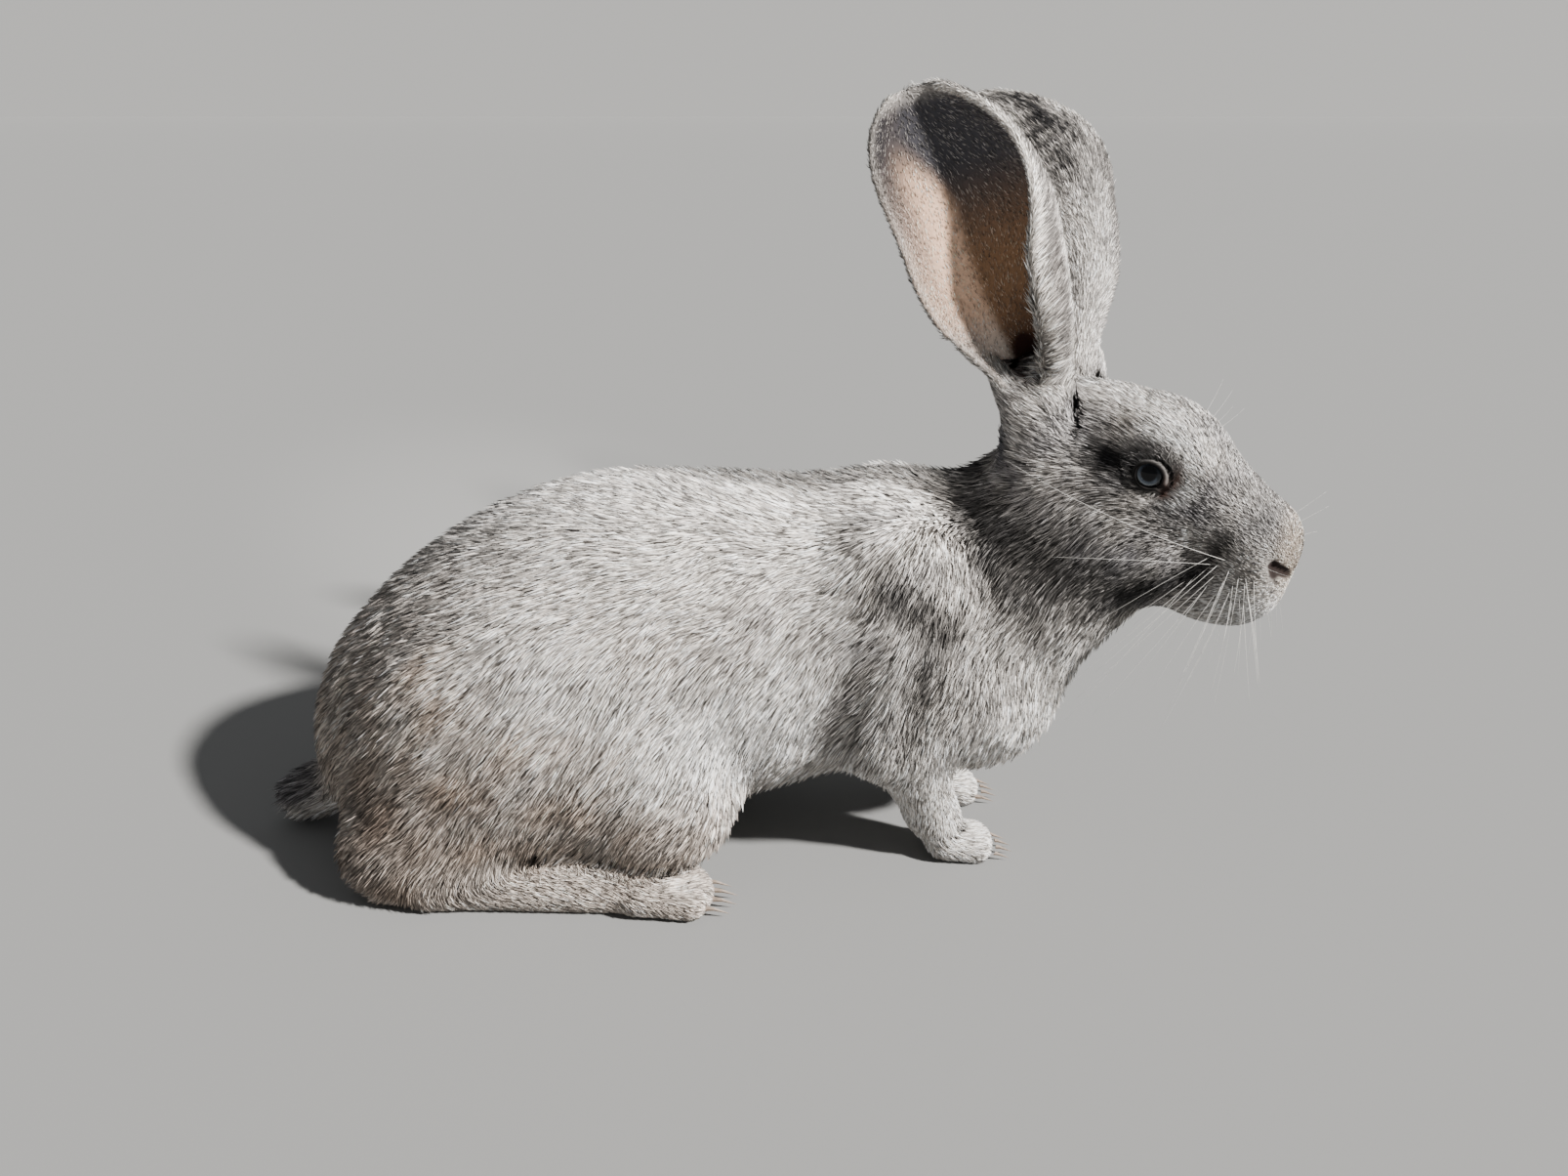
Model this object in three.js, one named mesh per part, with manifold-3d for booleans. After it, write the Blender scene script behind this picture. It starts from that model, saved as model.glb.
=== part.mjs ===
// A large rabbit, life size, crouched and alert with its ears up and its head turned to its right.
// The outline of the whole animal, out to the tips of its coat, is one implicit form: eggs and
// tapered limbs that flow into each other. That form is meshed region by region and parted with
// thin cuts into the pieces that a person would name. The ears are curled sheets, and the eyes and
// claws are solids of their own.
// Millimetres. +X is forward, +Y is the rabbit's left, +Z is up, and the floor is Z = 0.
import * as THREE from "three";
import { mergeVertices } from "three/addons/utils/BufferGeometryUtils.js";
import Module from "manifold-3d";

const wasm = await Module();
wasm.setup();

// ---- Driving dimensions -------------------------------------------------------------------------

const GAP = 0.3; // between two pieces that meet
const BACK_HEIGHT = 183; // top of the back over the floor
const BELLY_CLEARANCE = 7;

const HIND_FOOT_OUT = 66; // from the midline to the middle of a hind foot
const HEEL_X = -158;
const HIND_FOOT_LENGTH = 128;
const FOREPAW_OUT = 26;
const HIND_CLAW_LENGTH = 15;
const FORE_CLAW_LENGTH = 13;
const WRIST = [70, FOREPAW_OUT + 2, 24];

// The head's own frame has its origin midway between the eyes, x to the nose, y to its left and
// z to the crown.
const HEAD_AT = [161, -34, 199];
const HEAD_YAW = -28; // degrees, negative to the rabbit's right
const HEAD_PITCH = 20; // degrees, nose down
const EYE_RADIUS = 8.5;
const EYE_OUT = 18.5; // from the head's midline to the middle of an eyeball

const EAR_ROOT = [-49, 21, -2]; // in the head's frame
const EAR_LENGTH = 146;
const EAR_THICKNESS = 4.4; // cartilage with the short fur of both faces
const EAR_REAR_WIDTH = 50; // from the ear's back along the curl to its rear margin, at the widest
const EAR_FRONT_WIDTH = 42;
const EAR_ROOT_CURL = 165; // degrees from the ear's back to each margin, at the root and in the leaf
const EAR_REAR_CURL = 58;
const EAR_FRONT_CURL = 132;

// ---- Implicit forms: each is a function that gives about the distance from a point to a surface -

const rad = THREE.MathUtils.degToRad;

// An egg: an ellipsoid with its middle at a point and its radii, tilted nose up about Y in degrees.
function egg([cx, cy, cz], [rx, ry, rz], tilt = 0) {
  const ct = Math.cos(rad(tilt));
  const st = Math.sin(rad(tilt));
  return (px, py, pz) => {
    const dx = px - cx;
    const dz = pz - cz;
    const x = (dx * ct + dz * st) / rx;
    const y = (py - cy) / ry;
    const z = (dz * ct - dx * st) / rz;
    const near = Math.hypot(x, y, z);
    const slope = Math.hypot(x / rx, y / ry, z / rz);
    return slope > 0 ? (near * (near - 1)) / slope : -Math.min(rx, ry, rz);
  };
}

// A limb: a cone with round ends, from radius ra at a to radius rb at b.
function limb(a, ra, b, rb) {
  const axis = [b[0] - a[0], b[1] - a[1], b[2] - a[2]];
  const length = Math.hypot(...axis);
  const shrink = (ra - rb) / length;
  const side = Math.sqrt(Math.max(0, 1 - shrink * shrink));
  return (px, py, pz) => {
    const dx = px - a[0];
    const dy = py - a[1];
    const dz = pz - a[2];
    const along = (dx * axis[0] + dy * axis[1] + dz * axis[2]) / length;
    const out = Math.sqrt(Math.max(0, dx * dx + dy * dy + dz * dz - along * along));
    const back = along * side - out * shrink;
    if (back < 0) return Math.hypot(out, along) - ra;
    if (back > length * side) return Math.hypot(out, along - length) - rb;
    return out * side + along * shrink - ra;
  };
}

// Forms joined so that each flows into the next over about `flow` mm.
function blend(flow, ...forms) {
  return (x, y, z) => {
    let d = forms[0](x, y, z);
    for (let i = 1; i < forms.length; i++) {
      const e = forms[i](x, y, z);
      const h = Math.max(flow - Math.abs(d - e), 0) / flow;
      d = Math.min(d, e) - (h * h * flow) / 4;
    }
    return d;
  };
}

// A form with another hollowed out of it, with a soft edge.
function hollow(flow, form, tool) {
  const inverse = blend(flow, (x, y, z) => -form(x, y, z), tool);
  return (x, y, z) => -inverse(x, y, z);
}

const bothSides = (form) => (x, y, z) => form(x, Math.abs(y), z);

// A form made in a frame of its own, set in the part's frame by a matrix.
function placed(form, matrix) {
  const m = matrix.clone().invert().elements;
  return (x, y, z) =>
    form(
      m[0] * x + m[4] * y + m[8] * z + m[12],
      m[1] * x + m[5] * y + m[9] * z + m[13],
      m[2] * x + m[6] * y + m[10] * z + m[14],
    );
}

// ---- The head's frame ---------------------------------------------------------------------------

const headFrame = new THREE.Matrix4().makeRotationFromEuler(
  new THREE.Euler(0, rad(HEAD_PITCH), rad(HEAD_YAW), "ZYX"),
);
headFrame.setPosition(...HEAD_AT);
const inHead = (x, y, z) => new THREE.Vector3(x, y, z).applyMatrix4(headFrame).toArray();

// ---- The rabbit's outline -----------------------------------------------------------------------

function trunkForm() {
  const rump = egg([-133, 0, 67], [96, 70, 80], 31);
  const loin = egg([-65, 0, BACK_HEIGHT - 82], [111, 74, 82], 2);
  const ribs = egg([18, 0, 110], [98, 58, 70], 2);
  const brisket = egg([84, 0, 88], [46, 42, 54], 30);
  const withers = egg([54, 0, 150], [36, 34, 30], -4);
  const underBelly = (x, y, z) => z - BELLY_CLEARANCE;
  return hollow(24, blend(26, rump, loin, ribs, brisket, withers), underBelly);
}

function neckForm() {
  const throat = limb([84, 0, 108], 50, inHead(-10, 0, -38), 37);
  const nape = limb([72, 0, 130], 38, inHead(-30, 0, -20), 27);
  return blend(20, throat, nape);
}

function tailForm() {
  return limb([-206, 0, 30], 17, [-240, 3, 15], 13);
}

function haunchForm() {
  const thigh = egg([-112, 46, 74], [80, 40, 66], 22);
  const knee = egg([-58, 60, 50], [38, 27, 36], -14);
  const hock = egg([-164, HIND_FOOT_OUT - 6, 26], [40, 24, 30], 16);
  return blend(20, thigh, knee, hock);
}

// A hind foot: the long sole from the heel to the ball, and four toes side by side.
const TOES = [-1.5, -0.5, 0.5, 1.5];
const BALL_X = HEEL_X + HIND_FOOT_LENGTH - 36;
const hindToe = (k) => ({
  from: [BALL_X, HIND_FOOT_OUT + 3 + 6 * k, 9],
  to: [BALL_X + 29 - 3 * Math.abs(k), HIND_FOOT_OUT + 4 + 7 * k, 6.8],
});
function hindFootForm() {
  const sole = limb([HEEL_X, HIND_FOOT_OUT, 13], 15, [BALL_X, HIND_FOOT_OUT + 3, 10], 13);
  const toes = TOES.map((k) => limb(hindToe(k).from, 8, hindToe(k).to, 7));
  return blend(7, sole, ...toes);
}

// A foreleg: shoulder blade and upper arm, forearm, and a paw of four toes.
function shoulderForm() {
  const blade = egg([56, 37, 124], [36, 24, 52], 14);
  const arm = limb([84, 38, 92], 24, [46, 42, 72], 22);
  return blend(18, blade, arm);
}
const foreToe = (k) => ({
  from: [WRIST[0] + 6, FOREPAW_OUT + 4.4 * k, 8],
  to: [WRIST[0] + 25 - 2 * Math.abs(k), FOREPAW_OUT + 5.6 * k, 5.8],
});
function forelegForm() {
  const forearm = limb([54, 40, 70], 20, WRIST, 12);
  const palm = limb(WRIST, 11.5, [WRIST[0] + 8, FOREPAW_OUT, 10], 10.5);
  const toes = TOES.map((k) => limb(foreToe(k).from, 7.5, foreToe(k).to, 6.4));
  return blend(8, forearm, palm, ...toes);
}

// The head in its own frame, with the ears' roots, the eye sockets and the nostrils.
const EYE_AT = [0, EYE_OUT, 0];
function earRootForm() {
  const [x, y, z] = EAR_ROOT;
  return limb([x + 5, y - 3, z - 14], 20, [x - 8, y + 3, z + 14], 14.5);
}
function headForm() {
  const crown = egg([-18, 0, -5], [40, 27, 29], 4);
  const brows = bothSides(egg([3, 14, 9], [20, 10, 11], -16));
  const bridge = limb([4, 0, 0.5], 22, [46, 0, -11], 17.5);
  const nose = egg([51, 0, -13], [13, 12, 15.5], -20);
  const lips = bothSides(egg([47, 9, -29], [20, 13, 17], -10));
  const chin = egg([42, 0, -44], [18, 13, 11], -8);
  const cheeks = bothSides(egg([-4, 15, -30], [36, 18, 27], -12));
  const jaw = limb([-6, 0, -39], 24, [36, 0, -42], 15);
  const solid = blend(12, crown, bridge, cheeks, jaw, nose, lips, chin, brows, bothSides(earRootForm()));
  const socket = bothSides(egg([EYE_AT[0] + 1, EYE_AT[1] + 9, EYE_AT[2]], [11, 4.5, 8]));
  return hollow(4, solid, socket);
}

const rearForm = blend(20, trunkForm(), bothSides(haunchForm()));
const frontForm = blend(18, bothSides(shoulderForm()), neckForm());
const endsForm = blend(10, placed(headForm(), headFrame), tailForm());
const feetForm = [bothSides(hindFootForm()), bothSides(forelegForm())];
const whole = blend(9, blend(18, rearForm, frontForm), endsForm, ...feetForm);

// ---- Meshing: a net of quads drawn tight over a form within a box -------------------------------

const CORNERS = [0, 1, 2, 3, 4, 5, 6, 7].map((c) => [c & 1, (c >> 1) & 1, (c >> 2) & 1]);
const EDGES = CORNERS.flatMap((_, a) => [1, 2, 4].filter((bit) => !(a & bit)).map((bit) => [a, a | bit]));
const edgesOfFace = (axis, side) => EDGES.filter((e) => e.every((c) => CORNERS[c][axis] === side));
const FACES = [0, 1, 2].flatMap((axis) => [0, 1].map((side) => edgesOfFace(axis, side)));

function slopeOf(form, p) {
  const step = 0.05;
  return [0, 1, 2].map((n) => {
    const ahead = p.map((v, m) => (m === n ? v + step : v));
    const behind = p.map((v, m) => (m === n ? v - step : v));
    return (form(...ahead) - form(...behind)) / (2 * step);
  });
}

// A point moved down the form's slope until it lies on the surface, but no further than `reach`
// each way, and then out of the surface by `push`.
function drawnTo(form, start, reach, push) {
  const turns = 3;
  const flattest = 1e-3;
  let p = [...start];
  for (let turn = 0; turn < turns; turn++) {
    const slope = slopeOf(form, p);
    const steepness = Math.max(Math.hypot(...slope), flattest) ** 2;
    const d = form(...p);
    const moved = p.map((v, n) => v - (d * slope[n]) / steepness);
    p = moved.map((v, n) => THREE.MathUtils.clamp(v, start[n] - reach, start[n] + reach));
  }
  const slope = slopeOf(form, p);
  const steepness = Math.max(Math.hypot(...slope), flattest);
  return p.map((v, n) => v + (push * slope[n]) / steepness);
}

// The crossed edges of one cell, grouped into the separate sheets of surface that pass through it.
function sheetsOf(v) {
  const isCrossed = ([a, b]) => v[a] < 0 !== v[b] < 0;
  const crossed = EDGES.filter(isCrossed);
  const sheet = new Map(crossed.map((edge, n) => [edge, n]));
  const join = (e, f) => {
    const [from, to] = [sheet.get(f), sheet.get(e)];
    for (const [edge, n] of sheet) if (n === from) sheet.set(edge, to);
  };
  for (const face of FACES) {
    const onFace = face.filter(isCrossed);
    if (onFace.length === 2) join(onFace[0], onFace[1]);
    if (onFace.length < 4) continue;
    for (const e of onFace) {
      for (const f of onFace) if (e.some((c) => v[c] < 0 && f.includes(c))) join(e, f);
    }
  }
  return [...new Set(sheet.values())].map((n) => crossed.filter((edge) => sheet.get(edge) === n));
}

// A solid net drawn over a form between two corners of a box. Each side of a cell is `cell` long.
function netOf(form, low, high, cell, push = 0) {
  const justOutside = cell * 0.01;
  const reach = cell * 0.45;
  const edgesPerCell = 64;
  const [nx, ny, nz] = low.map((v, i) => Math.ceil((high[i] - v) / cell) + 1);
  const at = (i, j, k) => (k * ny + j) * nx + i;
  const value = new Float64Array(nx * ny * nz);
  for (let k = 0; k < nz; k++) {
    for (let j = 0; j < ny; j++) {
      for (let i = 0; i < nx; i++) {
        const onEdge = i * j * k === 0 || i === nx - 1 || j === ny - 1 || k === nz - 1;
        const d = form(low[0] + i * cell, low[1] + j * cell, low[2] + k * cell);
        value[at(i, j, k)] = onEdge ? Math.max(d, justOutside) : d;
      }
    }
  }
  // One vertex for each sheet in each cell, kept under every grid edge that the sheet crosses there.
  const vertexOf = new Map();
  const points = [];
  for (let k = 0; k < nz - 1; k++) {
    for (let j = 0; j < ny - 1; j++) {
      for (let i = 0; i < nx - 1; i++) {
        const v = CORNERS.map(([a, b, c]) => value[at(i + a, j + b, k + c)]);
        for (const sheet of sheetsOf(v)) {
          const sum = [0, 0, 0];
          for (const [a, b] of sheet) {
            const t = v[a] / (v[a] - v[b]);
            for (let n = 0; n < 3; n++) sum[n] += CORNERS[a][n] + t * (CORNERS[b][n] - CORNERS[a][n]);
            vertexOf.set(at(i, j, k) * edgesPerCell + a * 8 + b, points.length / 3);
          }
          const start = [i, j, k].map((n, axis) => low[axis] + (n + sum[axis] / sheet.length) * cell);
          points.push(...drawnTo(form, start, reach, push));
        }
      }
    }
  }
  const triangles = [];
  const span = (m, n) => Math.hypot(...[0, 1, 2].map((s) => points[3 * m + s] - points[3 * n + s]));
  // The four cells round a crossed grid edge, which runs along `axis` from grid point i, j, k.
  const addQuad = (i, j, k, axis, flip) => {
    const [u, w] = [(axis + 1) % 3, (axis + 2) % 3];
    const q = [[1, 1], [0, 1], [0, 0], [1, 0]].map(([du, dw]) => {
      const cellAt = [i, j, k];
      cellAt[u] -= du;
      cellAt[w] -= dw;
      const from = (du << u) | (dw << w);
      return vertexOf.get(at(...cellAt) * edgesPerCell + from * 8 + (from | (1 << axis)));
    });
    if (flip) q.reverse();
    if (span(q[0], q[2]) < span(q[1], q[3])) triangles.push(q[0], q[1], q[2], q[0], q[2], q[3]);
    else triangles.push(q[1], q[2], q[3], q[1], q[3], q[0]);
  };
  for (let k = 0; k < nz - 1; k++) {
    for (let j = 0; j < ny - 1; j++) {
      for (let i = 0; i < nx - 1; i++) {
        const inside = value[at(i, j, k)] < 0;
        if (inside !== value[at(i + 1, j, k)] < 0) addQuad(i, j, k, 0, !inside);
        if (inside !== value[at(i, j + 1, k)] < 0) addQuad(i, j, k, 1, !inside);
        if (inside !== value[at(i, j, k + 1)] < 0) addQuad(i, j, k, 2, !inside);
      }
    }
  }
  return solidFrom(points, triangles);
}

function solidFrom(points, triangles) {
  const vertProperties = new Float32Array(points);
  const triVerts = new Uint32Array(triangles);
  return new wasm.Manifold(new wasm.Mesh({ numProp: 3, vertProperties, triVerts }));
}

// ---- Ears: a curled sheet that opens from a tube at the root to a broad leaf --------------------

const smooth = (t, from, to) => THREE.MathUtils.smoothstep(t, from, to);
const mix = THREE.MathUtils.lerp;

// The ear's width at `t` from the root to the tip, as a share of its widest.
function leafAt(t) {
  const widestAt = 0.6;
  const rootShare = 0.56;
  const bluntness = 2.3;
  if (t < widestAt) return mix(rootShare, 1, smooth(t, 0.02, 0.55));
  return Math.sqrt(1 - ((t - widestAt) / (1 - widestAt)) ** bluntness);
}

// One point of the ear's middle sheet. `t` runs from the root to the tip. `s` runs round the curl,
// from -1 at the rear margin, over 0 at the ear's back, to 1 at the front margin.
function earSheet(pose, t, s) {
  const leaf = leafAt(t);
  const width = (s < 0 ? EAR_REAR_WIDTH : EAR_FRONT_WIDTH) * leaf;
  const leafCurl = s < 0 ? EAR_REAR_CURL : EAR_FRONT_CURL;
  const flattened = mix(1, 0.45, smooth(t, 0.45, 0.95));
  const curl = rad(mix(EAR_ROOT_CURL, leafCurl, smooth(t, -0.1, 0.5)) * flattened);
  const radius = width / curl;
  const turn = curl * Math.abs(s);
  const bow = 3 + 16 * leaf * smooth(t, 0, 0.35) - 14 * smooth(t, 0.6, 1);
  const across = Math.sign(s) * radius * Math.sin(turn) + bow;
  const rootSunk = 16 * (1 - smooth(t, 0, 0.4));
  const deep = radius * (1 - Math.cos(turn)) - rootSunk;
  return pose.root
    .clone()
    .addScaledVector(pose.along, EAR_LENGTH * t)
    .addScaledVector(pose.across, across)
    .addScaledVector(pose.open, deep);
}

// An ear's root and directions: `lean` back and `splay` out from the head's z in degrees, and
// `facing` for the way that it opens, from the nose round to the ear's own side.
function earPose({ side, lean, splay, facing }) {
  const along = new THREE.Vector3(-Math.tan(rad(lean)), side * Math.tan(rad(splay)), 1).normalize();
  const open = new THREE.Vector3(Math.cos(rad(facing)), side * Math.sin(rad(facing)), 0);
  open.addScaledVector(along, -open.dot(along)).normalize();
  const across = new THREE.Vector3().crossVectors(open, along).multiplyScalar(side);
  const turnToPart = new THREE.Matrix4().extractRotation(headFrame);
  const root = new THREE.Vector3(EAR_ROOT[0], side * EAR_ROOT[1], EAR_ROOT[2]).applyMatrix4(headFrame);
  for (const v of [along, open, across]) v.applyMatrix4(turnToPart);
  return { root, along, open, across };
}

function earSolid(pose) {
  const rows = 13;
  const columns = 11;
  const lastRow = 0.985; // short of the tip, where the sheet would close to a point
  const small = 1e-3;
  const marginThickness = 0.75;
  const points = [];
  const triangles = [];
  const index = (face, i, j) => (face * (rows + 1) + i) * (columns + 1) + j;
  for (const face of [0, 1]) {
    for (let i = 0; i <= rows; i++) {
      for (let j = 0; j <= columns; j++) {
        const t = lastRow * Math.sin((i / rows) * Math.PI * 0.5) ** 0.9;
        const s = (2 * j) / columns - 1;
        const p = earSheet(pose, t, s);
        const alongSheet = earSheet(pose, t + small, s).sub(p);
        const roundSheet = earSheet(pose, t, s + small).sub(p);
        const normal = alongSheet.cross(roundSheet).normalize();
        const thick = EAR_THICKNESS * mix(1, marginThickness, s * s);
        p.addScaledVector(normal, (face === 0 ? 0.5 : -0.5) * thick);
        points.push(p.x, p.y, p.z);
      }
    }
  }
  const addQuad = (a, b, c, d) => triangles.push(a, b, c, a, c, d);
  for (let i = 0; i < rows; i++) {
    for (let j = 0; j < columns; j++) {
      addQuad(index(0, i, j), index(0, i + 1, j), index(0, i + 1, j + 1), index(0, i, j + 1));
      addQuad(index(1, i, j), index(1, i, j + 1), index(1, i + 1, j + 1), index(1, i + 1, j));
    }
  }
  for (let i = 0; i < rows; i++) {
    addQuad(index(0, i, 0), index(1, i, 0), index(1, i + 1, 0), index(0, i + 1, 0));
    addQuad(index(0, i, columns), index(0, i + 1, columns), index(1, i + 1, columns), index(1, i, columns));
  }
  for (let j = 0; j < columns; j++) {
    addQuad(index(0, 0, j), index(0, 0, j + 1), index(1, 0, j + 1), index(1, 0, j));
    addQuad(index(0, rows, j), index(1, rows, j), index(1, rows, j + 1), index(0, rows, j + 1));
  }
  return solidFrom(points, triangles);
}

const EARS = {
  right: { side: -1, lean: 38, splay: 14, facing: 102 },
  left: { side: 1, lean: 46, splay: 13, facing: 102 },
};

// ---- Cutting tools ------------------------------------------------------------------------------

function solidOf(geometry) {
  geometry.deleteAttribute("normal");
  geometry.deleteAttribute("uv");
  const sameWithin = 1e-4;
  const merged = mergeVertices(geometry, sameWithin);
  return solidFrom(merged.attributes.position.array, merged.index.array);
}

// Everything beyond a plane through `point`: a block on the side that `normal` shows.
function beyond(point, normal) {
  const size = 900; // well over the rabbit's length
  const box = new THREE.BoxGeometry(size, size, size).translate(0, 0, size / 2);
  box.applyQuaternion(new THREE.Quaternion().setFromUnitVectors(new THREE.Vector3(0, 0, 1), normal));
  return solidOf(box.translate(...point));
}

// A solid parted by a plane, with half of the gap from each side: what lies beyond, then the rest.
function part(solid, point, normal) {
  const n = new THREE.Vector3(...normal).normalize();
  const shifted = (by) => new THREE.Vector3(...point).addScaledVector(n, by).toArray();
  const far = solid.intersect(beyond(shifted(GAP / 2), n));
  const near = solid.intersect(beyond(shifted(-GAP / 2), n.negate()));
  return [far, near];
}

// A solid parted by a closed form: first what lies inside it, then the rest.
function partByForm(solid, form, low, high, cell) {
  const inner = netOf(form, low, high, cell, -GAP / 2);
  const outer = netOf(form, low, high, cell, GAP / 2);
  return [solid.intersect(inner), solid.subtract(outer)];
}

const largest = (solid) => solid.decompose().sort((a, b) => b.volume() - a.volume())[0];

// ---- The pieces ---------------------------------------------------------------------------------

const coat = new THREE.MeshStandardMaterial({ color: 0x9c9591, roughness: 0.9, metalness: 0 });
const earSkin = new THREE.MeshStandardMaterial({ color: 0xa9958c, roughness: 0.85, metalness: 0 });
const eyeball = new THREE.MeshStandardMaterial({ color: 0x47525c, roughness: 0.08, metalness: 0 });
const horn = new THREE.MeshStandardMaterial({ color: 0x6e6058, roughness: 0.45, metalness: 0 });

const rabbit = new THREE.Group();
function addPiece(name, solid, material) {
  const { vertProperties, triVerts } = largest(solid).getMesh();
  const geometry = new THREE.BufferGeometry();
  geometry.setAttribute("position", new THREE.BufferAttribute(vertProperties, 3));
  geometry.setIndex(new THREE.BufferAttribute(triVerts, 1));
  geometry.computeVertexNormals();
  const mesh = new THREE.Mesh(geometry, material);
  mesh.name = name;
  rabbit.add(mesh);
}

const floor = beyond([0, 0, 0], new THREE.Vector3(0, 0, 1));
const SIDES = { right: -1, left: 1 };
const BODY_CELL = 22; // sizes of the facets, from the broad trunk to the small feet and the head
const CUT_CELL = 34;
const HEAD_CELL = 8.7;
const HIND_FOOT_CELL = 12;
const FORELEG_CELL = 11;
const FOREPAW_CELL = 7.5;
const FORELEG_CUT_CELL = 16;

// Where the pieces part, as a point and a direction: the head from the neck behind the jaw and the
// ears' roots, the neck from the chest in front of the shoulders, the trunk into chest, loin and
// rump, the tail, and each foot from its leg at the ankle.
const headCutFacing = new THREE.Vector3(0.65, 0, 0.76).transformDirection(headFrame);
const HEAD_CUT = [inHead(-36, 0, -42), headCutFacing.toArray()];
const NECK_CUT = [[110, 0, 140], [0.83, 0, 0.56]];
const CHEST_CUT = [[2, 0, 0], [1, 0, 0]];
const LOIN_CUT = [[-92, 0, 0], [1, 0, 0]];
const TAIL_CUT = [[-222, 0, 30], [-0.9, 0, -0.43]];
const HIND_FOOT_CUT = [[0, 0, 25], [0, 0, 1]];
const FOREPAW_CUT = [[0, 0, 21], [0, 0, 1]];

// The forms that a leg is cut out of the body with: they reach out past the coat and end within the body.
const haunchCut = (sign) => egg([-110, sign * 98, 58], [90, 66, 82], 18);
const shoulderCut = (sign) => egg([58, sign * 84, 112], [44, 58, 62], 16);
const forelegCut = (sign) => {
  const [x, y, z] = [WRIST[0], sign * FOREPAW_OUT, WRIST[2]];
  const aroundForearm = limb([58, sign * 40, 62], 27, [x + 3, y + sign * 2, z], 21);
  const aroundPaw = limb([x, y, 5], 21, [x + 22, y, 5], 19);
  return blend(10, aroundForearm, aroundPaw);
};
// A box round a leg or foot: `low` and `high` are in X and Z, `inner` and `outer` from the midline.
const aroundLeg = (low, high, sign, inner, outer) => {
  const [near, far] = [sign * inner, sign * outer].sort((a, b) => a - b);
  return [[low[0], near, low[1]], [high[0], far, high[1]]];
};
const hindFootBox = (sign) => aroundLeg([-222, -10], [-12, 44], sign, 14, 106);
const forelegBox = (sign) => aroundLeg([10, -24], [130, 100], sign, -6, 80);

function bodyPieces() {
  let trunk = netOf(whole, [-262, -105, -16], [200, 105, 246], BODY_CELL).intersect(floor);
  let neck;
  let tail;
  let haunch;
  let shoulder;
  trunk = part(trunk, ...HEAD_CUT)[1];
  [neck, trunk] = part(trunk, ...NECK_CUT);
  addPiece("neck", neck, coat);
  trunk = part(trunk, ...TAIL_CUT)[1];
  for (const [side, sign] of Object.entries(SIDES)) {
    trunk = trunk.subtract(footZone(sign));
    const haunchBox = aroundLeg([-230, -40], [0, 160], sign, 12, 180);
    [haunch, trunk] = partByForm(trunk, haunchCut(sign), ...haunchBox, CUT_CELL);
    addPiece(`haunch_${side}`, haunch, coat);
    trunk = trunk.subtract(netOf(forelegCut(sign), ...forelegBox(sign), FORELEG_CUT_CELL, GAP / 2));
    const shoulderBox = aroundLeg([0, 30], [130, 190], sign, 10, 160);
    [shoulder, trunk] = partByForm(trunk, shoulderCut(sign), ...shoulderBox, CUT_CELL);
    addPiece(`shoulder_${side}`, shoulder, coat);
  }
  const [chest, rear] = part(trunk, ...CHEST_CUT);
  const [loin, rump] = part(rear, ...LOIN_CUT);
  addPiece("chest", chest, coat);
  addPiece("loin", loin, coat);
  addPiece("rump", rump, coat);
}

// The block that holds a hind foot, from its heel to its toes.
const FOOT_INNER = 30;
function footZone(sign) {
  const [outer, top, bottom] = [120, HIND_FOOT_CUT[0][2] + GAP / 2, -20];
  const box = new THREE.BoxGeometry(220, outer - FOOT_INNER, top - bottom);
  return solidOf(box.translate(-130, (sign * (outer + FOOT_INNER)) / 2, (top + bottom) / 2));
}

function footPieces() {
  for (const [side, sign] of Object.entries(SIDES)) {
    const hindNet = (push) => netOf(whole, ...hindFootBox(sign), HIND_FOOT_CELL, push);
    const hindBlock = part(hindNet(0).intersect(floor), [0, sign * FOOT_INNER, 0], [0, sign, 0])[0];
    addPiece(`hind_foot_${side}`, part(hindBlock, ...HIND_FOOT_CUT)[1], coat);
    addClaws(`hind_claw_${side}`, TOES.map(hindToe), sign, HIND_CLAW_LENGTH, hindNet(GAP));

    const cut = netOf(forelegCut(sign), ...forelegBox(sign), FORELEG_CUT_CELL, -GAP / 2);
    const foreleg = netOf(whole, ...forelegBox(sign), FORELEG_CELL).intersect(cut);
    addPiece(`foreleg_${side}`, part(foreleg, ...FOREPAW_CUT)[0], coat);
    const pawNet = (push) => netOf(whole, ...forelegBox(sign), FOREPAW_CELL, push);
    const forepaw = pawNet(0).intersect(floor).intersect(cut);
    addPiece(`forepaw_${side}`, part(forepaw, ...FOREPAW_CUT)[1], coat);
    addClaws(`fore_claw_${side}`, TOES.map(foreToe), sign, FORE_CLAW_LENGTH, pawNet(GAP));
  }
}

// A claw: a small horn that curves down ahead of its toe, with its root in the toe.
function clawSolid(toe, sign, length) {
  const [radius, sides, rings] = [1.7, 5, 2];
  const rootIn = 3;
  const rootLow = 0.5;
  const droop = 3.6;
  const claw = new THREE.ConeGeometry(radius, length, sides, rings).rotateZ(-Math.PI / 2);
  const place = claw.translate(length / 2, 0, 0).attributes.position;
  for (let i = 0; i < place.count; i++) {
    const along = place.getX(i);
    const down = rootLow + droop * (along / length) ** 2;
    const [x, y, z] = [toe.to[0] + rootIn, sign * toe.to[1], toe.to[2] - down];
    place.setXYZ(i, x + along, y + place.getY(i), z + place.getZ(i));
  }
  return solidOf(claw);
}

// The claws of one foot, each cut off where it comes out of the foot.
function addClaws(name, toes, sign, length, foot) {
  toes.forEach((toe, i) => {
    addPiece(`${name}_${i + 1}`, clawSolid(toe, sign, length).subtract(foot), horn);
  });
}

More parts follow.
